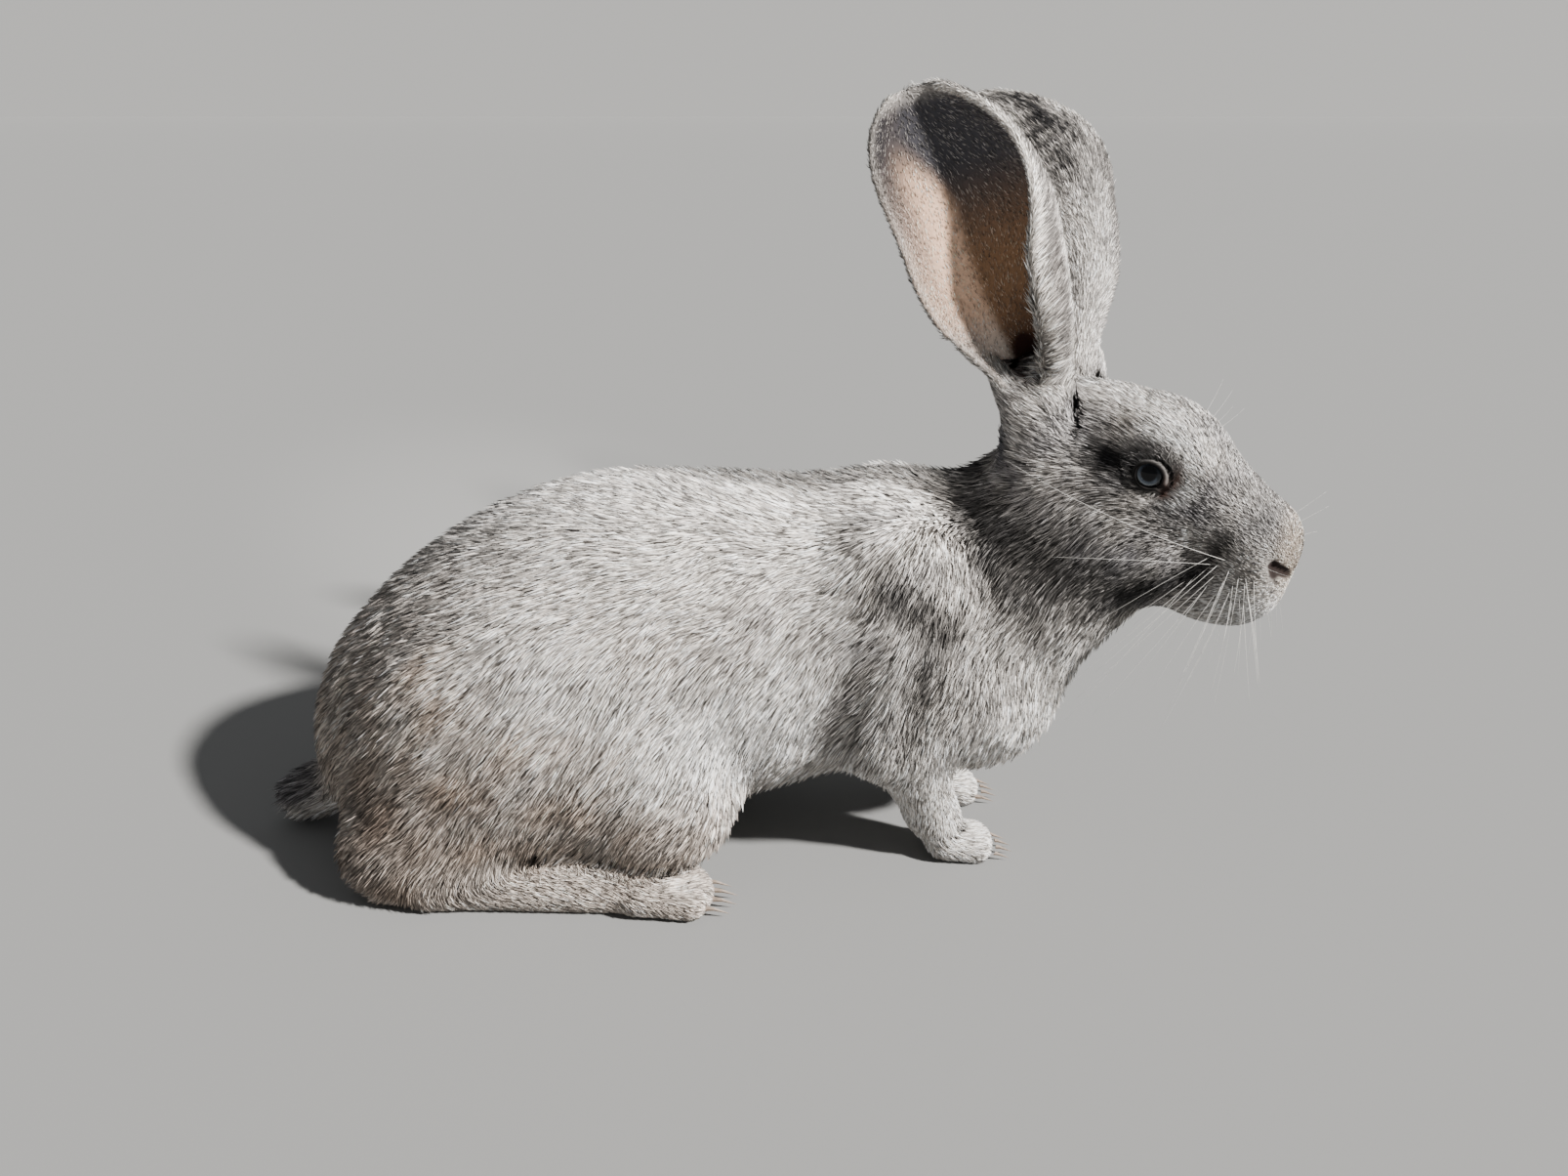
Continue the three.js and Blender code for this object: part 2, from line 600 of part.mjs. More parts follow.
function tailPiece() {
  const tail = netOf(whole, [-266, -32, -12], [-200, 36, 74], HIND_FOOT_CELL);
  addPiece("tail", part(tail.intersect(floor), ...TAIL_CUT)[0], coat);
}

// The head, its eyeballs and its ears. The eyeballs sit in the head up to their lids.
function headPieces() {
  const headBox = [[70, -120, 96], [238, 62, 262]];
  let head = part(netOf(whole, ...headBox, HEAD_CELL), ...HEAD_CUT)[0];
  const bed = netOf(whole, ...headBox, HEAD_CELL, GAP);
  for (const [side, sign] of Object.entries(SIDES)) {
    const eyeAt = inHead(EYE_AT[0], sign * EYE_AT[1], EYE_AT[2]);
    const [round, down] = [12, 9];
    const ball = (radius) => solidOf(new THREE.SphereGeometry(radius, round, down).translate(...eyeAt));
    head = head.subtract(ball(EYE_RADIUS + GAP));
    addPiece(`eye_${side}`, ball(EYE_RADIUS), eyeball);
    addPiece(`ear_${side}`, earSolid(earPose(EARS[side])).subtract(bed), earSkin);
  }
  addPiece("head", head, coat);
}

bodyPieces();
tailPiece();
footPieces();
headPieces();

// The origin goes to the middle of the bounding box, on the floor.
const middle = new THREE.Box3().setFromObject(rabbit).getCenter(new THREE.Vector3());
for (const piece of rabbit.children) piece.geometry.translate(-middle.x, -middle.y, 0);
export default rabbit;
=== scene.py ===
import math

import bmesh
import bpy
import numpy as np
from mathutils.kdtree import KDTree
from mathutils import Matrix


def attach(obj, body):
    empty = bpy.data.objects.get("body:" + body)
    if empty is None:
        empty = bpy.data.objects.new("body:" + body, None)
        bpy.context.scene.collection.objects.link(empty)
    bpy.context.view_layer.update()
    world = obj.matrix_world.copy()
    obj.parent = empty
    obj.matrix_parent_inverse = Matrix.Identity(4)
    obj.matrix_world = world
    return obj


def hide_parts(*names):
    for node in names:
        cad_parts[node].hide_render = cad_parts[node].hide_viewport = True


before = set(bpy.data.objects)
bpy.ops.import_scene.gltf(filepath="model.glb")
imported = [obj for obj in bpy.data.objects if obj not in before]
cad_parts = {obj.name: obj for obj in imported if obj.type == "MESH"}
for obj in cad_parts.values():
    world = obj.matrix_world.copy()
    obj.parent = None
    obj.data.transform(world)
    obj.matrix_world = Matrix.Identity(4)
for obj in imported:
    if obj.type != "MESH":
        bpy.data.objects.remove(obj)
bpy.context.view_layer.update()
scene = bpy.context.scene


# ---- Camera, floor and lights ----------------------------------------------------------------
# The view is from the rabbit's right side, a little above its back. A plain pale floor runs out to
# a steep ramp. One far lamp stands high ahead on the rabbit's right side, a smaller one beside it
# shines into the open ear, and the pale room fills the shadows.

CAMERA_AT = (0.0165, -0.580, 0.359)
VIEW_PITCH = 21.8
camera_data = bpy.data.cameras.new("camera")
camera_data.sensor_width = 36.0
camera_data.lens = 30.71
camera_data.clip_start = 0.01
camera = bpy.data.objects.new("camera", camera_data)
camera.location = CAMERA_AT
camera.rotation_euler = (math.radians(90 - VIEW_PITCH), 0, 0)
scene.collection.objects.link(camera)
scene.camera = camera

FLOOR_HALF = 60.0
RAMP_AT = 8.0
RAMP_HEIGHT = 1.6
RAMP_ANGLE = math.radians(72.2)  # as steep as lets the key lamp light it like the floor
FLOOR_GREY = (0.225, 0.225, 0.222, 1)
SUNLIGHT = (1.0, 0.98, 0.95)
SUN_WAY = (0.68, -0.43, 0.59)
EAR_LIGHT = (1.0, 0.97, 0.93)
OPEN_EAR_AT = (0.052, -0.035, 0.285)
EAR_LAMP_WAY = (0.53, -1.0, 0.64)
SKYLIGHT = (0.96, 0.98, 1.0, 1)


def fill_sockets(finish, node, sockets):
    """Sets each of a node's sockets to a value, or feeds it from another node's output."""
    for socket, value in sockets.items():
        if isinstance(value, bpy.types.NodeSocket):
            finish.node_tree.links.new(value, node.inputs[socket])
        else:
            node.inputs[socket].default_value = value


def add_node(finish, kind, sockets, **settings):
    node = finish.node_tree.nodes.new("ShaderNode" + kind)
    for setting, value in settings.items():
        setattr(node, setting, value)
    fill_sockets(finish, node, sockets)
    return node


def new_finish(name):
    finish = bpy.data.materials.new(name)
    finish.use_nodes = True
    return finish


def fill_shader(finish, sockets):
    fill_sockets(finish, finish.node_tree.nodes["Principled BSDF"], sockets)


def linked(name, data):
    """A new object in the scene."""
    thing = bpy.data.objects.new(name, data)
    scene.collection.objects.link(thing)
    return thing


def floor_with_ramp(finish):
    mesh = bpy.data.meshes.new("floor")
    ramp_end = RAMP_AT + RAMP_HEIGHT / math.tan(RAMP_ANGLE)
    profile = [(-FLOOR_HALF, 0), (RAMP_AT, 0), (ramp_end, RAMP_HEIGHT)]
    corners = [(x, y, z) for y, z in profile for x in (-FLOOR_HALF, FLOOR_HALF)]
    mesh.from_pydata(corners, [], [(0, 1, 3, 2), (2, 3, 5, 4)])
    mesh.materials.append(finish)
    return linked("floor", mesh)


floor_paint = new_finish("floor_paint")
fill_shader(floor_paint, {"Base Color": FLOOR_GREY, "Roughness": 0.9})
floor_with_ramp(floor_paint)


def hang_lamp(lamp, target, away):
    """Hangs a lamp off its target by the vector `away`, and turns it to the target."""
    holder = linked(lamp.name, lamp)
    away = type(camera.location)(away)
    holder.location = away + type(camera.location)(target)
    holder.rotation_euler = away.to_track_quat("Z", "Y").to_euler()


key_lamp = bpy.data.lights.new("key_lamp", "SUN")
key_lamp.energy = 12.0
key_lamp.angle = math.radians(4)
key_lamp.color = SUNLIGHT
hang_lamp(key_lamp, (0, 0, 0), SUN_WAY)
ear_lamp = bpy.data.lights.new("ear_lamp", "SPOT")
ear_lamp.energy = 175.0
ear_lamp.color = EAR_LIGHT
ear_lamp.shadow_soft_size = 0.04
ear_lamp.spot_size = math.radians(13)
ear_lamp.spot_blend = 1.0
hang_lamp(ear_lamp, OPEN_EAR_AT, EAR_LAMP_WAY)
room = bpy.data.worlds.new("room")
room.use_nodes = True
room_light = room.node_tree.nodes["Background"]
room_light.inputs["Color"].default_value = SKYLIGHT
room_light.inputs["Strength"].default_value = 0.27
scene.world = room


# ---- Skin -------------------------------------------------------------------------------------
# The rabbit's skin in one piece, from the nose to the tail and up both ears. It lies under the
# coat, deeper where the coat is deeper, and it forms the eyelids, nostrils, lips and toes. It is
# drawn tight over the body's forms, which are the eggs and limbs that the solids are made from.

MM = 0.001
FORMS_MIDDLE = np.array([-16.516, -0.068, 0.0])  # the part's middle, where the forms are set out
HEAD_AT = np.array([161.0, -34.0, 199.0])
HEAD_YAW = math.radians(-28)
HEAD_PITCH = math.radians(20)
EYE_RADIUS = 8.5
EYE_AT = np.array([0.0, 18.5, 0.0])
EAR_ROOT = np.array([-49.0, 21.0, -2.0])
EAR_LENGTH = 146.0
EAR_HALF_THICKNESS = 1.35
FOOT_OUT = 66.0
HEEL_X = -158.0
BALL_X = HEEL_X + 92
PAW_OUT = 26.0
WRIST = np.array([70.0, PAW_OUT + 2, 24.0])
TOES = (-1.5, -0.5, 0.5, 1.5)
SIDES = (("right", -1), ("left", 1))

cy, sy, cp, sp = np.cos(HEAD_YAW), np.sin(HEAD_YAW), np.cos(HEAD_PITCH), np.sin(HEAD_PITCH)
HEAD_TURN = np.array([[cy * cp, -sy, cy * sp], [sy * cp, cy, sy * sp], [-sp, 0, cp]])


def to_head(p):
    return (p - HEAD_AT) @ HEAD_TURN


def from_head(p):
    return np.asarray(p, float) @ HEAD_TURN.T + HEAD_AT


def smooth(x, low, high):
    t = np.clip((x - low) / (high - low), 0, 1)
    return t * t * (3 - 2 * t)


def mix(a, b, t):
    return a + (b - a) * t


def unit(v):
    return v / np.maximum(np.linalg.norm(v, axis=-1, keepdims=True), 1e-9)


def egg(middle, radii, tilt=0.0):
    c, s = math.cos(math.radians(tilt)), math.sin(math.radians(tilt))
    rx, ry, rz = radii

    def form(p):
        dx, dy, dz = p[:, 0] - middle[0], p[:, 1] - middle[1], p[:, 2] - middle[2]
        x, y, z = (dx * c + dz * s) / rx, dy / ry, (dz * c - dx * s) / rz
        near = np.sqrt(x * x + y * y + z * z)
        slope = np.sqrt((x / rx) ** 2 + (y / ry) ** 2 + (z / rz) ** 2)
        return near * (near - 1) / np.maximum(slope, 1e-9)

    return form


def limb(a, ra, b, rb):
    a, b = np.asarray(a, float), np.asarray(b, float)
    length = np.linalg.norm(b - a)
    axis = (b - a) / length
    shrink = (ra - rb) / length
    side = math.sqrt(max(0.0, 1 - shrink * shrink))

    def form(p):
        d = p - a
        along = d @ axis
        out = np.sqrt(np.maximum((d * d).sum(1) - along * along, 0))
        back = along * side - out * shrink
        middle = out * side + along * shrink - ra
        start = np.hypot(out, along) - ra
        end = np.hypot(out, along - length) - rb
        return np.where(back < 0, start, np.where(back > length * side, end, middle))

    return form


def flow_of(flow, distances):
    d = distances[0]
    for e in distances[1:]:
        h = np.maximum(flow - np.abs(d - e), 0) / flow
        d = np.minimum(d, e) - h * h * flow / 4
    return d


def blend(flow, *forms):
    return lambda p: flow_of(flow, [form(p) for form in forms])


def carved(flow, distance, tool):
    return -flow_of(flow, [-distance, tool])


def nearness(p, start, end, width):
    """One along a line from start to end, and falling away over a width on all sides of it."""
    return np.exp(-((limb(start, 0.0, end, 0.0)(p) / width) ** 2))


def mirrored(p):
    """The points, with those on the right side moved to their mirrored places on the left."""
    return p * [1, 0, 1] + np.abs(p) * [0, 1, 0]


def both_sides(form):
    return lambda p: form(mirrored(p))


trunk_form = blend(
    26,
    egg([-133, 0, 67], [96, 70, 80], 31),
    egg([-65, 0, 101], [111, 74, 82], 2),
    egg([18, 0, 110], [98, 58, 70], 2),
    egg([84, 0, 88], [46, 42, 54], 30),
    egg([54, 0, 150], [36, 34, 30], -4),
)
neck_form = blend(
    20,
    limb([84, 0, 108], 50, from_head([-10, 0, -38]), 37),
    limb([72, 0, 130], 38, from_head([-30, 0, -20]), 27),
)
haunch_form = blend(
    20,
    egg([-112, 46, 74], [80, 40, 66], 22),
    egg([-58, 60, 50], [38, 27, 36], -14),
    egg([-164, FOOT_OUT - 6, 26], [40, 24, 30], 16),
)
shoulder_form = blend(18, egg([56, 37, 124], [36, 24, 52], 14), limb([84, 38, 92], 24, [46, 42, 72], 22))
tail_form = limb([-206, 0, 30], 17, [-240, 3, 15], 13)


def hind_toe(k):
    y = FOOT_OUT + 3 + 6 * k
    return [BALL_X, y, 9], [BALL_X + 29 - 3 * abs(k), y + 1 + k, 6.8]


def fore_toe(k):
    return [WRIST[0] + 6, PAW_OUT + 4.4 * k, 8], [WRIST[0] + 25 - 2 * abs(k), PAW_OUT + 5.6 * k, 5.8]


hind_foot_form = blend(
    5,
    limb([HEEL_X, FOOT_OUT, 13], 15, [BALL_X, FOOT_OUT + 3, 10], 13),
    *[limb(hind_toe(k)[0], 7.6, hind_toe(k)[1], 6.8) for k in TOES],
)
foreleg_form = blend(
    5,
    blend(8, limb([54, 40, 70], 20, WRIST, 12), limb(WRIST, 11.5, [WRIST[0] + 8, PAW_OUT, 10], 10.5)),
    *[limb(fore_toe(k)[0], 7.0, fore_toe(k)[1], 6.2) for k in TOES],
)
ear_root_form = limb(EAR_ROOT + [5, -3, -14], 20, EAR_ROOT + [-8, 3, 14], 14.5)
head_form = blend(
    12,
    egg([-18, 0, -5], [40, 27, 29], 4),
    limb([4, 0, 0.5], 22, [46, 0, -11], 17.5),
    both_sides(egg([-4, 15, -30], [36, 18, 27], -12)),
    limb([-6, 0, -39], 24, [36, 0, -42], 15),
    egg([51.6, 0, -16.5], [13.6, 12, 16.5], -12),
    both_sides(egg([48.8, 8, -29.3], [20, 12.5, 16.8], -10)),
    egg([43, 0, -41], [18.5, 13, 10], -8),
    both_sides(egg([3, 14, 9], [20, 10, 11], -16)),
    both_sides(limb([16, 13, -10], 9, [44, 9.5, -15], 9)),
    both_sides(ear_root_form),
)
socket_form = both_sides(egg([EYE_AT[0] + 1, EYE_AT[1] + 9, EYE_AT[2]], [11, 4.5, 8]))

# Shallow hollows between the muscles, behind the shoulder and at the elbow.
hollow_form = both_sides(
    blend(
        6,
        egg([62, 76, 139], [26, 13, 15], -16),
        limb([77, 66, 148], 5, [74, 68, 126], 6),
        egg([57, 76, 108], [10, 12, 26], -14),
        limb([36, 70, 118], 6, [18, 62, 72], 9),
    )
)
# Folds at the root of each ear, as lines with their widths and depths: the bottom of its opening,
# the slit that this closes to, the crease behind the slit, and the furrow beside the crown.
EAR_BOTTOM = ([-76, 25, 34], [-65, 27.5, 21.5], 6.0, 4.5)
EAR_SLIT = ([-65, 28.5, 21.5], [-56.5, 31, 13.5], 3.0, 3.6)
EAR_CREASE = ([-55, 39, 12.5], [-44, 38, 2.5], 2.0, 1.8)
EAR_FURROW = ([-46, 12, 19], [-32.5, 27, 4], 5.2, 1.8)
ear_web = limb([-58, 30, 2], 9.5, [-77, 37, 17], 4.0)
eye_hollow = egg([-17, 33.5, -2], [14, 6.5, 8])

# Coat depth on each part of the body, in mm.
COAT_DEPTH = {
    "trunk": 4.8, "neck": 4.6, "haunch": 4.6, "shoulder": 4.2, "hind_foot": 1.6, "foreleg": 2.0,
    "tail": 5.0, "head": 0.7,
}
CHEEK_COAT_DEPTH = 2.2
NOSE_TIP = np.array([66.0, 0.0, -15.0])


def head_at(h):
    """The head's outline, in its own frame, with the folds round the eyes and the ears' roots."""
    f = mirrored(h)
    head = flow_of(4, [head_form(h), ear_web(f)])
    head = carved(4, head, socket_form(h))
    head = carved(5, head, eye_hollow(f))
    for fold in (EAR_BOTTOM, EAR_SLIT, EAR_CREASE, EAR_FURROW):
        head = head + fold[3] * nearness(f, *fold[:3])
    return head


def ear_depth(f):
    """One at the bottom of an ear's opening and in its slit, and zero away from them."""
    return np.maximum(nearness(f, *EAR_BOTTOM[:3]), nearness(f, *EAR_SLIT[:2], 4.2))


def parts_at(p):
    """How far each point is from each part of the body."""
    side = mirrored(p)
    return {
        "trunk": trunk_form(p),
        "neck": neck_form(p),
        "haunch": haunch_form(side),
        "shoulder": shoulder_form(side),
        "hind_foot": hind_foot_form(side),
        "foreleg": foreleg_form(side),
        "tail": tail_form(p),
        "head": head_at(to_head(p)),
    }


def outline_from(d, p):
    """The outline of the coat, from the parts' distances."""
    trunk = carved(24, d["trunk"], p[:, 2] - 7)
    rear = flow_of(20, [trunk, d["haunch"]])
    front = flow_of(18, [d["shoulder"], d["neck"]])
    ends = flow_of(10, [d["head"], d["tail"]])
    body = carved(10, flow_of(18, [rear, front]), hollow_form(p))
    return flow_of(9, [body, ends, d["hind_foot"], d["foreleg"]])


def shares_of(d, spread=5.0):
    """How much each part of the body counts at each point. The shares add up to one."""
    least = np.min(list(d.values()), axis=0)
    share = {name: np.exp(-(v - least) / spread) for name, v in d.items()}
    total = sum(share.values())
    return {name: v / total for name, v in share.items()}


def coat_depth(share, h):
    from_nose = np.linalg.norm(h - NOSE_TIP, axis=1)
    depth = sum(share[name] * COAT_DEPTH[name] for name in share)
    return depth + share["head"] * CHEEK_COAT_DEPTH * smooth(from_nose, 18, 110)


# The lids, nostrils and lips, in the head's own frame and for both sides alike.
lid_form = egg(EYE_AT, [10.2, 10.0, 10.0])
LIDS_MIDDLE = np.array([3.0, 26.0, 0.0])
eye_opening = blend(
    1.0, egg([0.2, 33.0, -0.1], [6.4, 13.5, 5.8]), egg([6.6, 31.0, -2.8], [3.6, 10.0, 1.5], -28)
)
nostril_form = blend(
    1.2,
    limb([60.2, 16.2, -14.0], 2.3, [62.4, 15.8, -17.6], 1.8),
    limb([61.4, 15.4, -14.8], 2.4, [69.2, 6.2, -17.4], 1.6),
)
lip_cleft = limb([69.5, 0, -20], 0.9, [68.5, 0, -36], 1.1)
mouth_line = blend(
    1.0, limb([68, 0, -37], 1.0, [60, 9, -43], 1.0), limb([60, 9, -43], 1.0, [46, 17, -43], 0.9)
)


def skin_at(p):
    d = parts_at(p)
    h = to_head(p)
    skin = outline_from(d, p) + coat_depth(shares_of(d), h)
    on_face = np.flatnonzero((h[:, 0] > -22) & (d["head"] < 12))
    f = mirrored(h[on_face])
    face = flow_of(3.5, [skin[on_face], lid_form(f)])
    face = carved(0.7, face, eye_opening(f))
    face = carved(0.8, face, nostril_form(f))
    face = carved(1.2, face, lip_cleft(f))
    face = carved(1.2, face, mouth_line(f))
    skin[on_face] = face
    return skin


def slope_at(form, p, value, step=0.08):
    return np.stack([(form(p + np.eye(3)[n] * step) - value) / step for n in range(3)], 1)


def drawn_to(form, p, level=0.0, turns=3, most=4.0):
    """Points moved down the form's slope until they lie at a level of it."""
    for _ in range(turns):
        value = form(p)
        slope = slope_at(form, p, value)
        steep = np.maximum((slope * slope).sum(1), 0.05)
        move = -((value - level) / steep)[:, None] * slope
        size = np.linalg.norm(move, axis=1, keepdims=True)
        p = p + move * np.minimum(1, most / np.maximum(size, 1e-9))
    return p


# An ear: a sheet that is a tube at the root and opens to a broad leaf. `t` runs from the root to
# the tip, and `s` from -1 at the rear margin, over 0 at the ear's back, to 1 at the front margin.
EARS = [(-1, 38, 14, 102), (1, 46, 13, 102)]  # side, then lean, splay and facing in degrees
ROOT_CURL = 165
EAR_HALVES = ((50.0, 58.0), (42.0, 132.0))  # width and curl of the rear half, then of the front


def ear_sheet(side, lean, splay, facing, t, s):
    leaf = np.where(
        t < 0.6, mix(0.56, 1, smooth(t, 0.02, 0.55)), np.sqrt(1 - (np.maximum(t - 0.6, 0) / 0.4) ** 2.3)
    )
    (rear_width, rear_curl), (front_width, front_curl) = EAR_HALVES
    width = np.where(s < 0, rear_width, front_width) * leaf
    curl = mix(ROOT_CURL, np.where(s < 0, rear_curl, front_curl), smooth(t, -0.1, 0.5))
    curl = np.radians(curl * mix(1, 0.45, smooth(t, 0.45, 0.95)))
    radius = width / curl
    turn = curl * np.abs(s)
    across = np.sign(s) * radius * np.sin(turn)
    across = across + 3 + 16 * leaf * smooth(t, 0, 0.35) - 14 * smooth(t, 0.6, 1)
    deep = radius * (1 - np.cos(turn)) - 16 * (1 - smooth(t, 0, 0.4))
    lean, splay, facing = np.radians([lean, splay, facing])
    up = unit(np.array([-np.tan(lean), side * np.tan(splay), 1]))
    opening = np.array([np.cos(facing), side * np.sin(facing), 0])
    opening = unit(opening - up * (opening @ up))
    sideways = np.cross(opening, up) * side
    h = EAR_ROOT * [1, side, 1] + up * EAR_LENGTH * t[:, None]
    return from_head(h + sideways * across[:, None] + opening * deep[:, None])


EAR_ROWS, EAR_COLUMNS = 170, 130
heights = 0.985 * np.sin(np.linspace(0, 1, EAR_ROWS) * np.pi / 2) ** 0.9
ear_t, ear_s = np.meshgrid(heights, np.linspace(-1, 1, EAR_COLUMNS), indexing="ij")
ear_t, ear_s = ear_t.ravel(), ear_s.ravel()
ear_points, ear_normals, ear_ups = [], [], []
for ear in EARS:
    sheet = ear_sheet(*ear, ear_t, ear_s)
    up_sheet = ear_sheet(*ear, np.minimum(ear_t + 1e-3, 0.999), ear_s) - sheet
    round_sheet = ear_sheet(*ear, ear_t, ear_s + 1e-3) - sheet
    ear_points.append(sheet)
    ear_normals.append(unit(np.cross(up_sheet, round_sheet)) * ear[0])  # to the ear's open side
    ear_ups.append(unit(up_sheet))
ear_points, ear_normals, ear_ups = map(np.concatenate, (ear_points, ear_normals, ear_ups))
ear_t, ear_s = np.tile(ear_t, 2), np.tile(ear_s, 2)
ear_tree = KDTree(len(ear_points))
for i, point in enumerate(ear_points):
    ear_tree.insert(point, i)
ear_tree.balance()
EAR_BOX = ear_points.min(0) - 4, ear_points.max(0) + 4


def ear_nearest(p, reach=4.0):
    """For each point, the nearest place on an ear's sheet, or -1 where none is within reach."""
    nearest = np.full(len(p), -1)
    near = np.flatnonzero(((p > EAR_BOX[0]) & (p < EAR_BOX[1])).all(1))
    for i in near:
        _, index, distance = ear_tree.find(p[i])
        if distance < reach:
            nearest[i] = index
    return nearest


FLESH = [name for name in sorted(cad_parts) if "claw" not in name and "eye" not in name]


def swollen(node, by=0.0009):
    """A node's closed mesh, with its faces pushed out to overlap its neighbours."""
    bm = bmesh.new()
    bm.from_mesh(node.data)
    bmesh.ops.remove_doubles(bm, verts=bm.verts, dist=1e-6)
    bm.normal_update()
    for vertex, normal in [(v, v.normal.copy()) for v in bm.verts]:
        vertex.co += normal * by
    return bm


def joined_flesh():
    joined = bmesh.new()
    for name in FLESH + ["eye_right", "eye_left"]:
        bm = swollen(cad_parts[name])
        mesh = bpy.data.meshes.new("flesh_part")
        bm.to_mesh(mesh)
        joined.from_mesh(mesh)
        bm.free()
        bpy.data.meshes.remove(mesh)
    mesh = bpy.data.meshes.new("skin")
    joined.to_mesh(mesh)
    joined.free()
    return mesh


skin = linked("skin", joined_flesh())


def remeshed(facet):
    """The skin's mesh, made anew as one closed surface of small facets."""
    remesh = skin.modifiers.new("one_skin", "REMESH")
    remesh.mode = "VOXEL"
    remesh.voxel_size = facet
    evaluated = skin.evaluated_get(bpy.context.evaluated_depsgraph_get())
    mesh = bpy.data.meshes.new_from_object(evaluated)
    skin.modifiers.clear()
    skin.data = mesh
    return mesh


def keep_outer_shell(mesh):
    """Deletes the closed pockets left inside, so that only the outside remains."""
    bm = bmesh.new()
    bm.from_mesh(mesh)
    unseen, shells = set(bm.verts), []
    while unseen:
        shell, edge_of_search = set(), [unseen.pop()]
        while edge_of_search:
            vertex = edge_of_search.pop()
            shell.add(vertex)
            beside = [e.other_vert(vertex) for e in vertex.link_edges]
            fresh = [v for v in beside if v in unseen]
            unseen.difference_update(fresh)
            edge_of_search.extend(fresh)
        shells.append(shell)
    shells.sort(key=len)
    bmesh.ops.delete(bm, geom=[v for shell in shells[:-1] for v in shell], context="VERTS")
    bm.to_mesh(mesh)
    bm.free()


def listed(things, key, kind=np.float32, width=3):
    """One property of all the things, with a row for each."""
    values = np.empty(len(things) * width, kind)
    things.foreach_get(key, values)
    return values.reshape(-1, width)


def points_of(mesh):
    return listed(mesh.vertices, "co").astype(float) / MM + FORMS_MIDDLE


def finer(mesh, chosen):
    """Splits the faces whose corners `chosen` picks."""
    bm = bmesh.new()
    bm.from_mesh(mesh)
    picked = chosen(points_of(mesh))
    edges = [e for e in bm.edges if picked[e.verts[0].index] and picked[e.verts[1].index]]
    bmesh.ops.subdivide_edges(bm, edges=edges, cuts=1, use_grid_fill=True)
    bmesh.ops.triangulate(bm, faces=[f for f in bm.faces if len(f.verts) > 4])
    bm.to_mesh(mesh)
    bm.free()


def near_eye(reach):
    def chosen(p):
        return np.linalg.norm(mirrored(to_head(p)) - [2, 25, 0], axis=1) < reach

    return chosen


def near_nose(p):
    h = to_head(p)
    return (np.linalg.norm(h - [62, 0, -24], axis=1) < 24) & (h[:, 0] > 50)


def near_ear_root(p):
    h = mirrored(to_head(p))
    folds = [nearness(h, *fold[:2], 6.0) for fold in (EAR_SLIT, EAR_CREASE, EAR_FURROW)]
    return np.max(folds, axis=0) > 0.42


def relaxed(mesh, p, turns, share=0.5):
    edges = listed(mesh.edges, "vertices", np.int32, 2)
    neighbours = np.bincount(edges.ravel(), minlength=len(p))[:, None]
    for _ in range(turns):
        total = np.zeros_like(p)
        for axis in range(3):
            total[:, axis] = np.bincount(edges[:, 0], p[edges[:, 1], axis], len(p))
            total[:, axis] += np.bincount(edges[:, 1], p[edges[:, 0], axis], len(p))
        p = mix(p, total / neighbours, share)
    return p


def ear_gap(p):
    """How far each point is from the ears' skin, where it is near to it."""
    place = ear_nearest(p, reach=12.0)
    offset = p - ear_points[place]
    off_sheet = np.abs((offset * ear_normals[place]).sum(1))
    aside = np.sqrt(np.maximum((offset * offset).sum(1) - off_sheet**2, 0))
    gap = np.hypot(off_sheet, np.maximum(aside - 0.7, 0)) - EAR_HALF_THICKNESS
    return np.where(place >= 0, gap, 12.0)


def skin_with_ears(p):
    return flow_of(4.0, [skin_at(p), ear_gap(p)])


def drawn_over_body(start, outside_head):
    """The skin's points drawn onto the body's skin, with care at the ears' roots and the eyes."""
    points = drawn_to(skin_at, start, turns=3)
    points = drawn_to(skin_at, relaxed(one_skin, points, 3), turns=2, most=2.0)
    at_root = np.flatnonzero((ear_nearest(start, reach=9.0) >= 0) & (outside_head < 13))
    rooted = start.copy()
    rooted[at_root] = drawn_to(skin_with_ears, start[at_root], turns=3, most=3.0)
    rooted = relaxed(one_skin, rooted, 4)[at_root]
    points[at_root] = drawn_to(skin_with_ears, rooted, turns=2, most=2.0)
    at_face = np.flatnonzero(near_eye(12)(start))
    points[at_face] = drawn_to(skin_at, points[at_face], turns=4, most=3.0)
    return points


ROUGH_FACET, SKIN_FACET = 0.0016, 0.0012
SOLE_HEIGHT = 0.25
for facet in (ROUGH_FACET, SKIN_FACET):
    one_skin = remeshed(facet)
    keep_outer_shell(one_skin)
    if facet == SKIN_FACET:
        finer(one_skin, lambda p: near_eye(15)(p) | near_nose(p) | near_ear_root(p))
        finer(one_skin, near_eye(12))
    start = points_of(one_skin)
    on_ear = ear_nearest(start)
    outside_head = outline_from(parts_at(start), start)
    ear_share = np.where(on_ear >= 0, smooth(outside_head, 9.0, 12.0), 0.0)[:, None]
    ear_skin = ear_points[on_ear] + unit(start - ear_points[on_ear]) * EAR_HALF_THICKNESS
    skin_points = mix(drawn_over_body(start, outside_head), ear_skin, ear_share)
    skin_points[:, 2] = np.maximum(skin_points[:, 2], SOLE_HEIGHT)
    one_skin.vertices.foreach_set("co", ((skin_points - FORMS_MIDDLE) * MM).astype(np.float32).ravel())
    one_skin.update()
of_the_ear = (on_ear >= 0) & (outside_head > -2)
ear_like = np.flatnonzero(of_the_ear)
of_the_ear[ear_like] = ear_gap(skin_points[ear_like]) < skin_at(skin_points[ear_like]) - 0.3
one_skin.shade_smooth()


MARKING_WAVES = 7


